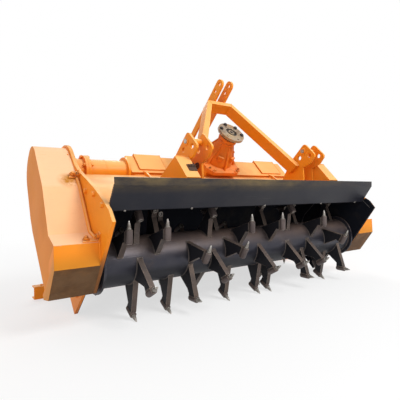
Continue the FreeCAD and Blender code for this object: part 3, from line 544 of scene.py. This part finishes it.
def level(x, outline):
    """The points of a (y, z) outline at one x."""
    return [at(x, y, z) for y, z in outline]


def skin(work, rings, closed=False):
    """Faces from each ring of vertices to the next; a ring of one vertex is a point."""
    pairs = list(zip(rings, rings[1:])) + ([(rings[-1], rings[0])] if closed else [])
    for first, second in pairs:
        count = max(len(first), len(second))
        for index in range(count):
            following = (index + 1) % count
            face = list(dict.fromkeys((
                first[index % len(first)], first[following % len(first)],
                second[following % len(second)], second[index % len(second)])))
            if len(face) > 2:
                work.faces.new(face)
    if not closed:
        for ring in (rings[0], rings[-1]):
            if len(ring) > 2:
                work.faces.new(ring)


def circle(centre, along, radius, count, turn=0.0):
    """Points round a centre, square to a direction."""
    side = along.cross(UP if abs(along.z) < 0.9 else ACROSS).normalized()
    up = along.cross(side).normalized()
    for index in range(count):
        angle = turn + 2 * math.pi * index / count
        yield centre + radius * (side * math.cos(angle) + up * math.sin(angle))


def turned(work, foot, along, profile, sides=24, turn=0.0, size=1.0, hollow=False):
    """A turned shape: the profile is (distance along the axis, radius) from the foot."""
    along = along.normalized()
    rings = []
    for distance, radius in profile:
        centre, radius = foot + along * (distance * size), radius * size
        spots = circle(centre, along, radius, sides, turn) if radius > 1e-6 else [centre]
        rings.append([work.verts.new(spot) for spot in spots])
    skin(work, rings, closed=hollow)


def collar(work, foot, along, profile, sides=32):
    """A turned ring with a hole through it: the profile closes on itself."""
    turned(work, foot, along, profile, sides, hollow=True)


def slab(work, corners, through):
    """A flat outline pushed through by one vector."""
    near = [work.verts.new(corner) for corner in corners]
    far = [work.verts.new(corner + through) for corner in corners]
    skin(work, [near, far])


def plate_across(work, outline, start, end):
    """A flat (y, z) outline made into a plate from one x to another."""
    slab(work, level(start, outline), ACROSS * (end - start))


def heading(path, index):
    """The direction of a path at one of its points."""
    return (path[min(index + 1, len(path) - 1)] - path[max(index - 1, 0)]).normalized()


def sweep(work, path, outline, sideways):
    """An outline of (out, sideways) offsets carried along a path, mitred at its bends."""
    rings = []
    for index, spot in enumerate(path):
        out = sideways.cross(heading(path, index)).normalized()
        rings.append([work.verts.new(spot + out * a + sideways * b) for a, b in outline])
    skin(work, rings)


def weld_bead(work, chance, path, radius, step):
    """A laid weld: a thin tube that swells and shrinks as the metal was laid down."""
    path, spots = [Vector(spot) for spot in path], []
    for first, second in zip(path, path[1:]):
        count = max(int((second - first).length / step), 1)
        spots += [first.lerp(second, index / count) for index in range(count)]
    spots.append(path[-1])
    rings = []
    for index, spot in enumerate(spots):
        ripple = radius * (1 + 0.16 * math.cos(index * 2.2) + chance.uniform(-0.12, 0.12))
        if index in (0, len(spots) - 1):
            ripple *= 0.5
        rings.append([work.verts.new(corner) for corner in circle(spot, heading(spots, index), ripple, 6)])
    skin(work, rings)


def round_outline(radius, count):
    angles = [2 * math.pi * index / count for index in range(count)]
    return [(radius * math.cos(angle), radius * math.sin(angle)) for angle in angles]


def hoop(x, y, z, radius, count):
    """A closed round path for a bead, square to the X axis."""
    ring = [at(x, y + a, z + b) for a, b in round_outline(radius, count)]
    return ring + ring[:1]


def hex_head(work, foot, out, thread, turn=0.0):
    """A chamfered hexagon head on a washer, drawn in shares of the thread's size."""
    turned(work, foot, out, ((0, 1.02), (0.14, 1.02), (0.18, 0.98), (0.18, 0)), 20, size=thread)
    turned(work, foot, out, (
        (0.16, 0), (0.16, 0.82), (0.23, 0.87), (0.68, 0.87), (0.8, 0.74), (0.81, 0)), 6, turn, thread)


def nut_and_end(work, foot, out, thread, turn=0.0):
    """A nut on a washer with the bolt's end standing through it."""
    hex_head(work, foot, out, thread, turn)
    turned(work, foot, out, ((0.7, 0), (0.7, 0.5), (1.12, 0.5), (1.2, 0.42), (1.2, 0)), 16, size=thread)


def link(name, data, place=(0, 0, 0), aim=None):
    """A new object in the scene; a camera or lamp looks along its aim."""
    thing = bpy.data.objects.new(name, data)
    thing.location = place
    if aim:
        thing.rotation_mode = "QUATERNION"
        thing.rotation_quaternion = Vector(aim).to_track_quat("-Z", "Y")
    bpy.context.scene.collection.objects.link(thing)
    return thing


def round_edges(thing, width, angle):
    """Break the edges sharper than an angle by a small rounding."""
    rounding = thing.modifiers.new("broken_edges", "BEVEL")
    rounding.width, rounding.segments = width * MILLIMETRE, 2
    rounding.limit_method, rounding.angle_limit = "ANGLE", math.radians(angle)
    rounding.harden_normals = True


@contextlib.contextmanager
def drawn(name, slot="orange_paint", material=None, body="frame", replaces=(), bevel=0.0, sharp=32):
    """A mesh to draw in; once drawn it is a named piece on one body, with its material."""
    work = bmesh.new()
    yield work
    bmesh.ops.recalc_face_normals(work, faces=work.faces)
    work.transform(TO_ROW)
    mesh = bpy.data.meshes.new(name)
    work.to_mesh(mesh)
    work.free()
    mesh.shade_smooth()
    mesh.set_sharp_from_angle(angle=math.radians(sharp))
    piece = link(name, mesh)
    mesh.materials.append(MATERIALS[material or slot])
    if bevel:
        round_edges(piece, bevel, sharp)
    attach(piece, body)
    if replaces:
        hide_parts(*replaces)


def lay_welds(name, seed, beads, slot="orange_paint", material=None, body="frame"):
    """Welds kept as one piece; each bead is (path, radius, step along the path)."""
    chance = random.Random(seed)
    with drawn(name, slot, material, body, sharp=60) as work:
        for path, radius, step in beads:
            weld_bead(work, chance, path, radius, step)


def bolt_row(name, spots, out, thread):
    chance = random.Random(len(name))
    with drawn(name, sharp=25) as work:
        for spot in spots:
            hex_head(work, Vector(spot), out, thread, chance.uniform(0, 1))


# ---- rotor teeth

ROW_SLOTS = (
    (3, 11, 18, 24, 32), (7, 14, 28), (5, 13, 21, 27, 35), (2, 11, 24), (0, 4, 15, 20, 28), (8, 13, 31),
    (2, 11, 18, 23, 27), (8, 26, 34), (2, 6, 14, 19, 21, 32), (11, 22, 35), (0, 8, 17, 24, 30), (5, 19, 33),
)
MIDDLE_SLOT, SLOT_PITCH, ROW_ANGLE = 17.5, 52.5, 30
PICK_TIP, DRUM_RADIUS = at(0, 321, 0), 128
PICK_BACK = Vector((0, -1, 1)).normalized()


def tooth_places():
    for row, slots in enumerate(ROW_SLOTS):
        for slot in slots:
            angle = math.radians((row + 0.5) * ROW_ANGLE) + LEAN
            yield Matrix.Translation(((slot - MIDDLE_SLOT) * SLOT_PITCH, 0, 0)) @ Matrix.Rotation(angle, 4, "X")


def on_every_tooth(name, draw, slot="hard_tips", material=None, replaces=("rotor_picks",), sharp=40):
    """One tooth's detail drawn once in its own frame and copied to every tooth."""
    master = bmesh.new()
    draw(master)
    mesh = bpy.data.meshes.new("tooth_master")
    master.to_mesh(mesh)
    master.free()
    with drawn(name, slot, material, "rotor", replaces, sharp=sharp) as work:
        for place in tooth_places():
            mesh.transform(place)
            work.from_mesh(mesh)
            mesh.transform(place.inverted())
        bpy.data.meshes.remove(mesh)


def draw_point(work):
    """The hard insert at the very tip."""
    turned(work, PICK_TIP, PICK_BACK, (
        (-4, 0), (-3.4, 2), (-1.6, 3.4), (1, 4.1), (8, 5.2), (11, 5.8), (14, 6.2), (14, 0)))


def draw_nose(work):
    """The nose that holds the insert, with its pulling groove and collar."""
    turned(work, PICK_TIP, PICK_BACK, (
        (9.6, 0), (9.6, 6.4), (11, 7.2), (18, 8.4), (26, 10), (27.5, 10.2), (28.2, 8.6), (31.2, 8.6), (32, 11.8),
        (33, 12.4), (38, 12.4), (38.6, 12), (42, 11.8), (42, 0)), 28)


def draw_holder(work):
    """Thick sleeve with a worn mouth; its rear end is open round the shank."""
    collar(work, PICK_TIP, PICK_BACK, (
        (40, 12.6), (39.2, 13.6), (39.2, 15.6), (41.5, 18), (47, 18.5), (98, 18.5), (103.5, 17.9), (106, 16.2),
        (106, 10.6), (104.5, 9.6), (60, 9.6), (60, 12.6)), 28)


def draw_shank(work):
    """The shank, its spring ring and the washer on the holder's open end."""
    turned(work, PICK_TIP, PICK_BACK, (
        (44, 0), (44, 9.4), (96, 6.8), (97.5, 6.8), (97.5, 8), (99.5, 8), (99.5, 6.4), (104, 5.8), (105, 4.8),
        (105, 0)), 20)
    collar(work, PICK_TIP, PICK_BACK, ((105.5, 9.8), (105.5, 15), (107, 14.6), (107, 10.2)), 24)


def draw_tooth_welds(work):
    """Beads round an arm's foot on the drum and where it meets its holder."""
    chance = random.Random(7)

    def on_drum(side, degrees):
        angle = math.radians(degrees)
        return at(side, DRUM_RADIUS * math.cos(angle), DRUM_RADIUS * math.sin(angle))

    for side in (-15.5, 15.5):
        weld_bead(work, chance, [on_drum(side, step * 5.5) for step in range(-5, 6)], 4.2, 6)
        inwards = at(side, -0.7071 * 15, -0.7071 * 15)
        weld_bead(work, chance, [PICK_TIP + PICK_BACK * along + inwards for along in (50, 75, 100)], 3.2, 6)
    for degrees in (-28, 28):
        weld_bead(work, chance, [on_drum(-15, degrees), on_drum(15, degrees)], 4.2, 6)


def make_teeth():
    on_every_tooth("pick_points", draw_point, material="bright_steel")
    on_every_tooth("pick_noses", draw_nose)
    on_every_tooth("pick_holders", draw_holder, "worn_steel", "holder_steel")
    on_every_tooth("pick_shanks", draw_shank)
    on_every_tooth("tooth_welds", draw_tooth_welds, "worn_steel", "weld_steel", (), 60)
    rings = [(hoop(x, 0, 0, DRUM_RADIUS + 0.5, 64), 4, 8) for x in (-998, 998)]
    lay_welds("drum_ring_welds", 11, rings, "worn_steel", "weld_steel", "rotor")


# ---- body details

def make_side_plate_bolts():
    """The bolts in both side plates, three ahead of the drum and three behind it."""
    front = ((-253, 269), (-323, 179), (-366, 68))
    rear = ((300, 380), (320, 150), (250, -20))
    bolt_row("side_bolts_left", level(-PLATE_FACE, front), -ACROSS, 15)
    bolt_row("side_bolts_right", level(PLATE_FACE, front + rear), ACROSS, 15)
    bolt_row("side_bolts_left_rear", level(-PLATE_FACE, rear), -ACROSS, 15)


def make_case_edges():
    """The rod in the corner before the drive case, and the screwed lip round the rest of it."""
    corner = (
        (-213, -6), (-195, 28), (-173, 66), (-170, 80), (-182, 142), (-207, 270), (-219, 330), (-221, 360), (-220, 392))
    with drawn("case_rod", sharp=50) as work:
        sweep(work, level(-1050, corner), round_outline(8.5, 12), ACROSS)
    edge = [(-214, 440), (-211, 475), (-208, 511), (-204, 560)]
    for step in range(13):
        angle = math.radians(172 - step * 14)
        edge.append((SHAFT.y + CASE_RADIUS * math.cos(angle), SHAFT.z + CASE_RADIUS * math.sin(angle)))
    path = level(-PLATE_FACE, edge + [(78, 520), (118, 421), (118, 321), (96, 180), (62, -50)])
    with drawn("case_lip", sharp=30) as work:
        sweep(work, path, ((-2, -9), (13, -9), (15, -7), (15, 1), (-2, 1)), -ACROSS)
    with drawn("case_lip_screws", sharp=25) as screws:
        for first, second in zip(path[3::3], path[4::3]):
            middle = (first + second) / 2
            outwards = (middle - at(-PLATE_FACE, SHAFT.y, 300)).normalized()
            hex_head(screws, middle - ACROSS * 9 + outwards * 7, -ACROSS, 6)


def make_case_fittings():
    """Bolted angle clamps that tie the drive case to its side plate, oil plugs and a breather."""
    ledge, ledge_front = at(0, 56, 105).normalized(), at(0, -105, 56).normalized()
    clamps = (at(-1070, -217, 398), UP, AHEAD), (at(-1098, -218, -26), ledge, ledge_front)
    with drawn("case_clamp_bolts", material="rubbed_orange", sharp=25) as bolts, \
            drawn("case_clamps", bevel=1.5) as work:
        for wall, up, ahead in clamps:
            plate = at(-1046, wall.y, wall.z)
            inner = plate + ACROSS * 5
            slab(work, [wall - ACROSS * 22, inner, inner + up * 36, wall + up * 46], ahead * 6)
            leg = ((2, -6), (42, -6), (46, 20), (2, 34))
            slab(work, [plate + ahead * a + up * b for a, b in leg], ACROSS * 6)
            nut_and_end(bolts, wall + ahead * 6 + up * 20, ahead, 16, 0.3)
            nut_and_end(bolts, plate + ahead * 25 + up * 8, -ACROSS, 16, 0.9)
    with drawn("case_plugs", material="rubbed_orange", sharp=25) as work:
        hex_head(work, at(-1150, 67, -30), at(0, 1, -0.1), 14)
        hex_head(work, at(-1130, 109, 240), at(0, 0.97, -0.2), 11)
        turned(work, at(-1120, 58, 690), at(0, 0.75, 0.66), (
            (-8, 9), (6, 9), (7, 12), (20, 12), (24, 8), (24, 0)), 20)


def make_skid_welds():
    """Welds where the skids meet the side plates."""
    seams = ((-222, -32), (-106, -32), (-56, -71)), ((-222, -34), (-152, -113))
    beads = [(level(x, seam), 4, 4) for x in (-1042.5, 1042.5) for seam in seams]
    lay_welds("skid_welds", 3, beads + [(level(-1043, ((-222, -33), (-166, 72))), 4, 4)])


# ---- cross shaft and beam details

def make_tube_details():
    """The flange bolts beside the drive case, welds round the tube and bands on its joints."""
    with drawn("tube_bolts", sharp=25) as work:
        for spot in circle(SHAFT, ACROSS, 86, 6, math.radians(20)):
            hex_head(work, spot - ACROSS * 944, -ACROSS, 13, 0.4)
            nut_and_end(work, spot - ACROSS * 912, ACROSS, 13, 0.7)
    rings = (-911, 75, 4), (-681, 75, 4), (-662, 74, 4.5)
    lay_welds("tube_welds", 5, [(hoop(x, *SHAFT.yz, radius, 48), size, 7) for x, radius, size in rings])
    with drawn("tube_band", sharp=30) as band:
        collar(band, SHAFT - ACROSS * 812, ACROSS, (
            (0, 74), (0, 75.9), (1, 76.3), (4, 76.3), (5, 75.9), (5, 74)), 64)
        collar(band, SHAFT - ACROSS * 929, ACROSS, ((0, 90), (0, 95.6), (2, 95.6), (2, 90)), 64)


def make_beam_details():
    """Gussets before the beam, its welds and the plugs in its top."""
    with drawn("beam_gussets", bevel=1) as work:
        for x in (-588, 520):
            plate_across(work, ((-148, 507), (-148, 548), (-171, 512), (-190, 440)), x, x + 14)
    arch = (-158, 553), (-158, 697), (16, 697), (16, 553)
    end = (-146, 540), (-146, 684), (3, 684), (3, 540), (-146, 540)
    beads = [(level(x, arch), 2.6, 6) for x in (-605, -416, 457, 668)]
    beads += [([(-655, y, 505), (725, y, 505)], 4, 8) for y in (-149, 6)]
    lay_welds("beam_welds", 9, beads + [(level(736, end), 3, 6)])
    bolt_row("beam_plugs", [(x, -120, 697) for x in (-560, -460, 500, 620)], UP, 8)


# ---- hitch and mast details

def on_slope(x, share):
    """A point on the hood's front slope, by its share of the way from the fold to the crest."""
    return at(x, *Vector(HOOD_FOLD).lerp(Vector(HOOD_CREST), share))


def make_hitch_pins():
    """Washers and flat keys on the lower hitch pins, and the bushes between their plates."""
    with drawn("hitch_split_pins", "bright_steel", sharp=30) as keys, drawn("hitch_bushes", sharp=30) as work:
        for _, middle in HITCH_SIDES:
            for way in (-1, 1):
                face = at(middle + way * 57, -549, 353)
                collar(work, face, ACROSS * way, ((0, 13.4), (0, 24), (3.5, 24), (4.5, 23), (4.5, 13.4)))
                key = ((-1.8, -17), (1.8, -17), (1.8, 17), (-1.8, 17))
                slab(keys, [face + at(way * 6.2, y, z) for y, z in key], ACROSS * way * 1.4)
            collar(work, at(middle - 42, -549, 353), ACROSS, ((0, 13.3), (0, 19), (84, 19), (84, 13.3)))


def make_hitch_welds():
    """Beads at the feet of the hitch plates and wings, and along the wings' steps."""
    beads = []
    for side, middle in HITCH_SIDES:
        for x in (middle + way * reach for way in (-1, 1) for reach in (41.5, 58.5)):
            beads.append(([on_slope(x, 0.02), on_slope(x, 0.43)], 4, 4))
        beads.append(([on_slope(side * WING_FACE, 0), on_slope(side * WING_FACE, 0.38)], 4, 4))
        for z in (112, 274):
            beads.append(([(side * 541, -508, z), (side * (WING_FACE - 2), -508, z)], 3, 4))
    lay_welds("hitch_welds", 13, beads)


def make_hitch_bolts():
    """Rusty stop bolts in the hitch, the catch on one wing and the wings' screws."""
    with drawn("stop_bolts", "hard_tips", "rusty_iron", sharp=25) as work:
        for side, middle in HITCH_SIDES:
            for y, z, thread in ((-398, 322, 22), (-436, 286, 18)):
                nut_and_end(work, at(middle - side * 43, y, z), ACROSS * side, thread, 0.5)
    with drawn("wing_catch", "hard_tips", "rusty_iron", bevel=1, sharp=25) as catch:
        slab(catch, [at(x, -508, z) for x, z in ((-588, 160), (-540, 160), (-540, 212), (-588, 206))], AHEAD * 5)
        for x in (-578, -563, -548):
            nut_and_end(catch, at(x, -513, 191), AHEAD, 8, x * 0.3)
    screws = (-470, 282), (-320, 309)
    bolt_row("wing_screws", level(-604, screws) + level(604, screws), at(0, -0.178, 0.984), 9)


def mast_front(share, x):
    """A point on the front of the mast, by its share of the way up."""
    return at(x, -462 - 68 * share, 300 + 574 * share)


def make_mast_details():
    """Beads where the mast's bars meet each other and the hitch, and small studs on top."""
    through = at(0, 79, 9)
    beads = []
    for side in (-1, 1):
        corner, inner, foot = mast_front(1, side * 104), mast_front(0.945, side * 86), mast_front(0.02, side * 424)
        beads += [([corner, inner], 3, 4), ([inner, inner + through], 3, 4), ([foot, foot + through], 4, 4)]
        beads += [([(side * x, -530, 878), (side * x, -450, 880)], 3.4, 4) for x in (34, 50)]
        beads.append(([(side * 51, -100, 700), (side * 51, -42, 700)], 3.4, 4))
    lay_welds("mast_welds", 17, beads)
    with drawn("mast_tabs", bevel=0.8) as tabs:
        for side in (-1, 1):
            turned(tabs, at(side * 33, -520, 894), -ACROSS * side, ((0, 9), (2, 9), (3, 8), (3, 0)), 20)
        for x in (-28, 30):
            turned(tabs, at(x, -490, 878), UP, ((-4, 7), (6, 7), (8, 5.5), (8, 0)), 16)


# ---- gearbox details

GEARBOX, INPUT_FACE = at(0, -198, 624), at(0, -458, 624)


def spoke(degrees):
    """The ways out and sideways at an angle round an axis that runs ahead."""
    angle = math.radians(degrees)
    return at(math.cos(angle), 0, math.sin(angle)), at(-math.sin(angle), 0, math.cos(angle))


def casing_radius(distance):
    """The tapered casing's radius at a distance ahead of the foot's face."""
    return 114 - (distance - 48) * 56 / 126 if distance > 48 else 118 - distance * 4 / 48


def make_gearbox_ribs():
    """Cast ribs along the taper, and pads between the lower ones."""
    rib = ((24, 22), (60, 15), (120, 9), (172, 5), (172, -6), (24, -6))
    pad = ((-24, 0), (24, 0), (20, 18), (-20, 18))
    with drawn("gearbox_ribs", "cast_orange", bevel=2.5) as work:
        for degrees in (30, 90, 150, 210, 270, 330):
            out, side = spoke(degrees)
            corners = [GEARBOX + AHEAD * along + out * (casing_radius(along) + rise) for along, rise in rib]
            slab(work, [corner - side * 6 for corner in corners], side * 12)
        for degrees in (240, 300, 360):
            out, side = spoke(degrees)
            foot = GEARBOX + AHEAD * 74 + out * (casing_radius(74) - 8)
            slab(work, [foot + side * a + out * b for a, b in pad], AHEAD * 34)


def make_gearbox_bolts():
    """Base bolts on bosses, the neck's collar and screws, the filler plug and the welds."""
    base = ((134, 574), (134, 504), (104, 478), (-134, 574), (-134, 504), (-104, 478), (112, 684), (-112, 684))
    with drawn("gearbox_bosses", "cast_orange", sharp=30) as bosses, \
            drawn("gearbox_nuts", "cast_orange", "rubbed_orange", sharp=25) as nuts:
        for x, z in base:
            spot = at(x * 0.94, -224, z)
            turned(bosses, spot, AHEAD, ((-2, 18), (4, 17), (5.5, 15.5), (5.5, 0)))
            nut_and_end(nuts, spot + AHEAD * 5.5, AHEAD, 10.5, x * 0.1)
        collar(bosses, GEARBOX, AHEAD, ((176, 56), (176, 61), (184, 63), (190, 63), (190, 56)), 48)
    with drawn("gearbox_bolts", "hard_tips", "black_bolts", sharp=25) as bolts:
        for spot in circle(GEARBOX + AHEAD * 195, AHEAD, 62.5, 6, 0.2):
            turned(bolts, spot, AHEAD, ((0, 0), (0, 3), (1.5, 3), (1.5, 0)), 8)
        hex_head(bolts, at(0, -262, 736), at(0, -0.4, 0.92), 16, 0.2)
    beads = [([(side * x, y, 512), (side * x, y, 697)], 4, 4)
             for side in (-1, 1) for x, y in ((128, -150), (126.72, -199))]
    lay_welds("gearbox_welds", 19, beads, "cast_orange")


def make_input_details():
    """The splined shaft end and its nut in the flange's pocket, and the flange bolts."""
    rim = [INPUT_FACE + BACK * 9 + spoke(index * 5.625)[0] * (23 if index % 4 < 2 else 19) for index in range(64)]
    with drawn("input_hub", "machined_steel", "black_bolts", "input", sharp=28) as hub, \
            drawn("input_spline", "machined_steel", body="input", sharp=28) as work:
        slab(work, rim, AHEAD * 8)
        collar(work, INPUT_FACE, AHEAD, ((-1, 42), (1.2, 42), (1.6, 42.6), (1.6, 50), (1, 51), (-1, 51)), 56)
        collar(hub, INPUT_FACE + BACK * 8, AHEAD, (
            (0, 25), (1.5, 25), (1.5, 27), (0.6, 28), (0.6, 34), (3, 35), (3.6, 39.4), (0, 39.4)), 48)
        turned(hub, INPUT_FACE + BACK, AHEAD, ((0, 0), (0, 12), (1.2, 11.4), (1.2, 5), (-2, 3), (-2, 0)))
    with drawn("input_bolts", "machined_steel", "black_bolts", "input", sharp=25) as bolts:
        for degrees in (-21, 39, 99, 159):
            spot = INPUT_FACE + spoke(degrees)[0] * 78
            hex_head(bolts, spot, AHEAD, 14, 0.3)
            turned(bolts, spot + BACK * 19, AHEAD, ((0, 0), (0, 5.4), (20, 5.4), (20, 0)), 16)
            nut_and_end(bolts, spot + BACK * 18, BACK, 13, 0.8)


# ---- hood, bearing and door details

def make_hood_details():
    """Bolts along the hood's foot, flats on its back slope, and its and the deflector's welds."""
    with drawn("deflector_bolts", "bright_steel", "hard_tips", sharp=40) as work:
        for x in (-940, -563, -29, 512, 917):
            turned(work, at(x, -358, 36), at(0, 0.1, -1), (
                (0, 0), (0, 6.5), (2, 6.2), (4, 4.6), (5.2, 2.4), (5.5, 0)), 20)
    beads = [(level(x, ((-362, 46), (-494, 75))), 4, 4) for x in (-1017, 1017)]
    lay_welds("deflector_welds", 23, beads + [([(-1015, -361, 47), (1015, -361, 47)], 4, 8)], "charcoal_paint")
    with drawn("hood_ribs", bevel=1) as work:
        for x in (-820, -300, 300, 820):
            plate_across(work, ((110, 501), (110, 521), (360, 451), (366, 430)), x, x + 10)
    seam = (-335, 210), (-147, 507), (96, 507), (378, 428)
    lay_welds("hood_welds", 29, [(level(x, seam), 4, 6) for x in (-1018, 1018)])


def make_bearing_details():
    """Bolts round the bearing housing, its cover and its grease nipple."""
    with drawn("bearing_bolts", "cast_orange", sharp=28) as work:
        for spot in circle(at(1056, 0, 0), ACROSS, 56, 4, math.radians(45)):
            turned(work, spot, ACROSS, ((-1, 0), (-1, 6.2), (0, 6.2), (6, 6.2), (7, 5.4), (7, 0)), 6)
        turned(work, at(1078, 0, 0), ACROSS, ((0, 37), (5, 37), (6.5, 35), (6.5, 12), (5, 11), (5, 0)), 40)
        turned(work, at(1068, 0, 54), UP, (
            (-4, 4), (4, 4), (4, 3), (7, 3), (8.5, 3.6), (10, 3), (11, 1.6), (11, 0)), 12)


def on_door(x, back, down):
    """A point by its place on the hanging door: x, back of the hinge and below it, in mm."""
    return FROM_ROW @ (DOOR_HINGE + Vector((x, back, -down)) * MILLIMETRE)


def make_door_details():
    """Pressed ribs, welds and foot bar bolts on the door, and washers on its hinge pins."""
    rib = (-4, 70), (20, 92), (30, 264), (-4, 264)
    with drawn("door_ribs", body="door", bevel=1.2) as work:
        for x in (-860, -430, 0, 430, 860):
            slab(work, [on_door(x - 5, *spot) for spot in rib], ACROSS * 10)
    beads = [([on_door(-999, -3, 262), on_door(999, -3, 262)], 3.6, 8)]
    beads += [([on_door(x, -9, 22), on_door(x, -12, 60)], 3, 4) for x in (-740, -620, 620, 740)]
    lay_welds("door_welds", 31, beads, body="door")
    upwards = on_door(0, 0, 0) - on_door(0, 0, 1)
    with drawn("door_bar_bolts", body="door", sharp=25) as bolts:
        for x in (-1120, -1000, 1000, 1120):
            hex_head(bolts, on_door(x, 22, 263.6), upwards, 9, 0.4)
    with drawn("door_pin_washers", "bright_steel", sharp=30) as work:
        for inner in (-740, 620):
            for x, way in ((inner - 17, -1), (inner + 137, 1)):
                collar(work, on_door(x, 0, 0), ACROSS * way, ((0, 12.2), (0, 20), (2, 20), (2, 12.2)), 28)


def make_linings():
    """Seams of the wear plates inside both side plates."""
    edge = (-372, -40), (-366, 90), (-320, 205), (-200, 330), (120, 330), (330, 250), (330, -40)
    with drawn("lining_seams", material="chamber_inside", sharp=60) as work:
        for path in (level(-1019.5, edge), level(1019.5, edge)):
            for ends in zip(path, path[1:]):
                weld_bead(work, random.Random(37), ends, 3, 8)


DETAILS = (
    make_teeth, make_side_plate_bolts, make_case_edges, make_case_fittings, make_skid_welds, make_tube_details,
    make_beam_details, make_hitch_pins, make_hitch_welds, make_hitch_bolts, make_mast_details, make_gearbox_ribs,
    make_gearbox_bolts, make_input_details, make_hood_details, make_bearing_details, make_door_details, make_linings,
)


# ---- the nodes of the part

def dress(node, material):
    """The node's finish, with its flat faces whole and its edges broken."""
    node.data.materials.clear()
    node.data.materials.append(material)
    for polygon in node.data.polygons:
        polygon.use_smooth = True
    if node.data.attributes.get("custom_normal"):
        node.data.attributes.remove(node.data.attributes["custom_normal"])
    weld = node.modifiers.new("weld", "WELD")
    weld.merge_threshold = 0.00002
    flat = node.modifiers.new("whole_faces", "DECIMATE")
    flat.decimate_type, flat.angle_limit = "DISSOLVE", math.radians(0.6)
    round_edges(node, 1.6, 32)


def dress_nodes():
    slots = {part["node"]: part["material_slot"] for part in frame["record"]["subparts"]}
    finer = {"drive_case": "case_paint", "skid_left": "skid_paint", "skid_right": "skid_paint",
             "rotor_drum": "drum_steel", "rotor_ring_left": "drum_steel", "rotor_ring_right": "drum_steel"}
    for name, node in frame["nodes"].items():
        dress(node, MATERIALS[finer.get(name, slots[name])])


# ---- camera, floor and light

def place_camera():
    data = bpy.data.cameras.new("camera")
    data.lens, data.sensor_width = 33.74, 36
    data.clip_start, data.clip_end = 0.05, 100
    place = ROTOR_AXIS + Vector((-1.6656, -1.8478, 0.3831))
    bpy.context.scene.camera = link("camera", data, place, (0.5804, 0.8137, -0.0315))


def seen_straight(tree):
    """1 for what the camera sees straight or in a mirror, and 0 for what only gives light."""
    path = add(tree, "LightPath").outputs
    return maths("MAXIMUM", Value(path["Is Camera Ray"]), path["Is Glossy Ray"])


def mix_into(tree, output, share, first, second):
    """The tree's output as a mix of two shaders."""
    mixed = add(tree, "MixShader", i0=share, i1=first.outputs[0], i2=second.outputs[0])
    plug(add(tree, output).inputs[0], mixed.outputs[0])


def make_stage():
    """Pale floor: its shadow stays near the machine and fades to the white beyond."""
    mesh = bpy.data.meshes.new("floor")
    corners = (-30, -30, 0), (30, -30, 0), (30, 30, 0), (-30, 30, 0)
    mesh.from_pydata(corners, [], [(0, 1, 2, 3)])
    material = bpy.data.materials.new("pale_floor")
    material.use_nodes = True
    tree = material.node_tree
    tree.nodes.clear()
    plain = add(tree, "BsdfDiffuse", Color=(0.9, 0.9, 0.9, 1))
    glow = add(tree, "Emission", Color=(1, 1, 1, 1), Strength=1.0)
    reach = Value(add(tree, "VectorMath", {"operation": "LENGTH"}, i0=coordinates(tree)).outputs["Value"])
    whiteness = ramp(reach, 1.2, 4.0) * 0.35 + 0.65
    mix_into(tree, "OutputMaterial", seen_straight(tree) * whiteness, plain, glow)
    mesh.materials.append(material)
    floor = link("floor", mesh)


def add_lamp(name, place, aim, energy, across, up):
    data = bpy.data.lights.new(name, "AREA")
    data.shape, data.size, data.size_y, data.energy = "RECTANGLE", across, up, energy
    link(name, data, place, Vector(aim) - Vector(place))


def light_the_studio():
    world = bpy.data.worlds.new("studio")
    bpy.context.scene.world = world
    world.use_nodes = True
    tree = world.node_tree
    tree.nodes.clear()
    soft, white = (add(tree, "Background", Color=(1, 1, 1, 1), Strength=strength) for strength in (0.58, 1.0))
    mix_into(tree, "OutputWorld", seen_straight(tree), soft, white)
    add_lamp("key", (1.4, -4.4, 4.6), (0, 0, 0.6), 248, 2.6, 2.2)
    add_lamp("fill", (-8.0, -4.5, 3.4), (0, 0, 0.6), 135, 3.4, 3.4)
    add_lamp("rear", (2.5, 4.2, 4.0), (0, 0, 0.8), 80, 2.4, 2.4)


dress_nodes()
for make_detail in DETAILS:
    make_detail()
place_camera()
make_stage()
light_the_studio()
bpy.context.scene.view_settings.view_transform = "Standard"
